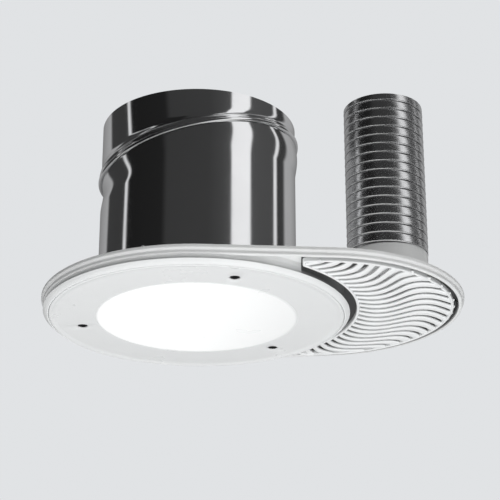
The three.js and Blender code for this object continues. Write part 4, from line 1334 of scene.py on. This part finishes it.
@dataclass
class Fixings:
    """The screws, with domed heads and cross recesses."""

    stack: Stack
    ceiling_circle = 168.0
    ceiling_angles = (110.0, 160.0, 200.0, 250.0)
    box_circle = 177.5
    box_angles = (-35.0, 0.0, 35.0)
    thread_pitch = 1.4

    def screw(self, at: Point, radius: float, face: float, shoulder: float, tip: float) -> BMesh:
        """Returns one screw.

        Args:
            at: Where its axis stands.
            radius: The head's radius.
            face: The height of the head's outer face.
            shoulder: The height of the face that the head rests on.
            tip: The height of the shank's tip.

        Returns:
            The screw, upright or hanging by the order of the heights.
        """
        up = 1.0 if tip > face else -1.0
        thick = abs(shoulder - face)
        shank = self.stack.shank_r
        corners: list[Corner] = [
            (0.0, 0.0), (radius * 0.55, 0.0, 1.0), (radius - 0.2, thick * 0.45, 0.9), (radius, thick, 0.15),
            (shank, thick)]
        length = abs(tip - shoulder)
        for k in range(int(length / self.thread_pitch)):
            start = thick + 0.4 + self.thread_pitch * k
            corners += [(shank, start), (shank - 0.35, start + 0.6)]
        corners += [(shank * 0.7, thick + length - 0.4), (0.0, thick + length)]
        bm = spun([(r, face + up * z) for r, z in filleted(corners, 4)], 28, at)
        reach, slot = radius * 0.6, 0.55
        x, y = at
        deep = thick * 0.75
        levels = sorted((face - up * 2, face + up * deep))
        for half_x, half_y in ((reach, slot), (slot, reach)):
            bm = carved(bm, block((x - half_x, y - half_y, levels[0]), (x + half_x, y + half_y, levels[1])),
                        Cut.REMOVE)
        return bm

    def build(self) -> None:
        """Builds the ten screws."""
        s = self.stack
        small = s.small_head_r
        ear = s.wall_top + 2 * GAP + 2
        runs = (
            ("diffuser_screw", s.around(s.screw_circle, s.screw_angles), BLACK_STEEL,
             (s.head_r, s.lens_face + GAP, s.lens_top + 0.9 - GAP, -4.0)),
            ("ceiling_screw", s.around(self.ceiling_circle, self.ceiling_angles), Steel(),
             (small, s.dish_z - 0.2, s.dish_z + 1.8 - GAP, 14.0)),
            ("air_box_screw", s.around(self.box_circle, self.box_angles), Steel(),
             (small, ear + 2.4, ear, -7.0)),
        )
        for name, places, finish, sizes in runs:
            for index, at in enumerate(places, 1):
                made(f"{name}_head_{index}", self.screw(at, *sizes), f"{name}_{index}", finish)


# ---- studio --------------------------------------------------------------------------------


@dataclass
class Studio:
    """The pale floor, the lights, the surroundings that the metal mirrors, and the camera."""

    floor_z: float = -1.25
    backdrop: Colour = (0.752, 0.767, 0.783)
    camera_at: Colour = (0.0906, -1.9084, -0.7163)
    camera_pitch: float = 22.46
    camera_yaw: float = 0.69
    focal: float = 115.16

    def floor(self) -> None:
        """Lays a wide pale floor below the fitting."""
        bm = bmesh.new()
        bmesh.ops.create_grid(bm, x_segments=8, y_segments=8, size=6.0)
        bmesh.ops.translate(bm, verts=bm.verts, vec=(0, 0, self.floor_z))
        mesh = bpy.data.meshes.new("studio_floor")
        bm.to_mesh(mesh)
        bm.free()
        mesh.materials.append(PaleFloor().material())
        floor = bpy.data.objects.new("studio_floor", mesh)
        bpy.context.scene.collection.objects.link(floor)
        floor.visible_glossy = False

    def lamp(self, name: str, at: Sequence[float], aim: Sequence[float], size: Point, power: float) -> None:
        """Hangs one soft rectangular lamp that the camera doesn't see."""
        data = bpy.data.lights.new(name, "AREA")
        data.shape = "RECTANGLE"
        data.size, data.size_y = size
        data.energy = power
        lamp = bpy.data.objects.new(name, data)
        lamp.location = at
        lamp.rotation_euler = (Vector(aim) - Vector(at)).to_track_quat("-Z", "Y").to_euler()
        lamp.visible_camera = False
        lamp.visible_glossy = False
        bpy.context.scene.collection.objects.link(lamp)

    def surroundings(self) -> None:
        """Sets a plain pale backdrop for the eye and a studio of soft panels for reflections."""
        world = bpy.data.worlds.new("studio")
        bpy.context.scene.world = world
        world.use_nodes = True
        nodes = Nodes(world.node_tree)
        way = nodes.add("ShaderNodeTexCoord").outputs["Generated"]
        axes = nodes.add("ShaderNodeSeparateXYZ", None, Vector=way)
        # 0.5 faces the front, towards -Y, and the value grows towards +X
        turn = nodes.math("ARCTAN2", axes.outputs["X"], nodes.math("MULTIPLY", axes.outputs["Y"], -1.0))
        share = nodes.math("ADD", nodes.math("DIVIDE", turn, FULL_TURN), 0.5)
        ramp = nodes.add("ShaderNodeValToRGB", None, Fac=share)
        stops = ((-180, 0.15), (-130, 0.38), (-126, 0.045), (-94, 0.04), (-92.5, 0.75), (-89.5, 0.75),
                 (-88, 0.012), (-40, 0.015), (-34, 0.04), (14, 0.045), (30, 0.06), (40.5, 0.08), (42, 0.9),
                 (65, 0.95), (66.5, 0.08), (100, 0.07), (102.5, 0.8), (105.5, 0.8), (108, 0.04), (120, 0.05),
                 (126, 0.4), (140, 0.38), (180, 0.15))
        elements = ramp.color_ramp.elements
        elements[0].position, elements[1].position = 0.0, 1.0
        for index, (angle, value) in enumerate(stops):
            position = angle / 360 + 0.5
            if index == 0:
                stop = elements[0]
            elif index == len(stops) - 1:
                stop = elements[-1]
            else:
                stop = elements.new(position)
            stop.color = (value, value, value * 1.01, 1)
        below = nodes.spread(axes.outputs["Z"], 0.0, 1.0, (-0.25, -0.85))
        clamp = nodes.math("MINIMUM", nodes.math("MAXIMUM", below, 0.0), 1.0)
        room = nodes.blend(clamp, (0.15, 0.15, 0.15), (1.05, 1.05, 1.06))
        seen = nodes.add("ShaderNodeBackground", None, Color=(*self.backdrop, 1), Strength=1.0)
        mirrored = nodes.add("ShaderNodeBackground", None, Color=ramp.outputs[0], Strength=1.0)
        felt = nodes.add("ShaderNodeBackground", None, Color=room, Strength=1.0)
        rays = nodes.add("ShaderNodeLightPath").outputs
        unseen = nodes.add("ShaderNodeMixShader", None, i0=rays["Is Glossy Ray"], i1=felt.outputs[0],
                           i2=mirrored.outputs[0])
        mix = nodes.add("ShaderNodeMixShader", None, i0=rays["Is Camera Ray"], i1=unseen.outputs[0],
                        i2=seen.outputs[0])
        nodes.add("ShaderNodeOutputWorld", None, Surface=mix.outputs[0])

    def camera(self) -> None:
        """Places the camera below and in front, looking up."""
        data = bpy.data.cameras.new("eye")
        data.lens = self.focal
        data.sensor_width = 36.0
        data.clip_start, data.clip_end = 0.05, 50.0
        eye = bpy.data.objects.new("eye", data)
        eye.location = self.camera_at
        eye.rotation_euler = (math.radians(90 + self.camera_pitch), 0, math.radians(self.camera_yaw))
        bpy.context.scene.collection.objects.link(eye)
        bpy.context.scene.camera = eye

    def build(self) -> None:
        """Builds the whole studio."""
        self.floor()
        self.surroundings()
        self.camera()
        self.lamp("under_panel", (0.05, -0.2, -1.15), (0.05, 0, 0), (2.6, 2.6), 31.0)
        self.lamp("front_panel", (1.6, -2.0, 0.6), (0.15, 0, 0), (1.0, 1.0), 12.0)
        self.lamp("overhead_panel", (0.4, 0.3, 2.2), (0.05, 0, 0), (2.0, 2.0), 60.0)
        view = bpy.context.scene.view_settings
        view.view_transform = "Standard"
        view.look = "None"


def dress_frame_nodes() -> None:
    """Gives each frame node that still shows its own finish."""
    finishes = {"bright_steel": Steel(), "white_plastic": WhitePlastic(), "foam_seal": Foam()}
    slots = {entry["node"]: entry["material_slot"] for entry in frame["record"]["subparts"]}
    for name, node in frame["nodes"].items():
        if node.hide_render:
            continue
        finish = finishes.get(slots[name], Steel())
        for slot in node.material_slots:
            slot.material = finish.material()
        log.info("%s keeps its own shape, in %s", name, finish.name)


def main() -> None:
    """Builds the fitting and the studio round it."""
    logging.basicConfig(level=logging.INFO, format="%(name)s: %(message)s")
    stack = Stack()
    Studio().build()
    for part in (Flange(stack), LightTube(), Diffuser(stack), Grille(stack), AirBox(stack), Duct(),
                 Fixings(stack)):
        log.info("building %s", type(part).__name__)
        part.build()
    dress_frame_nodes()


if __name__ == "__main__":
    main()
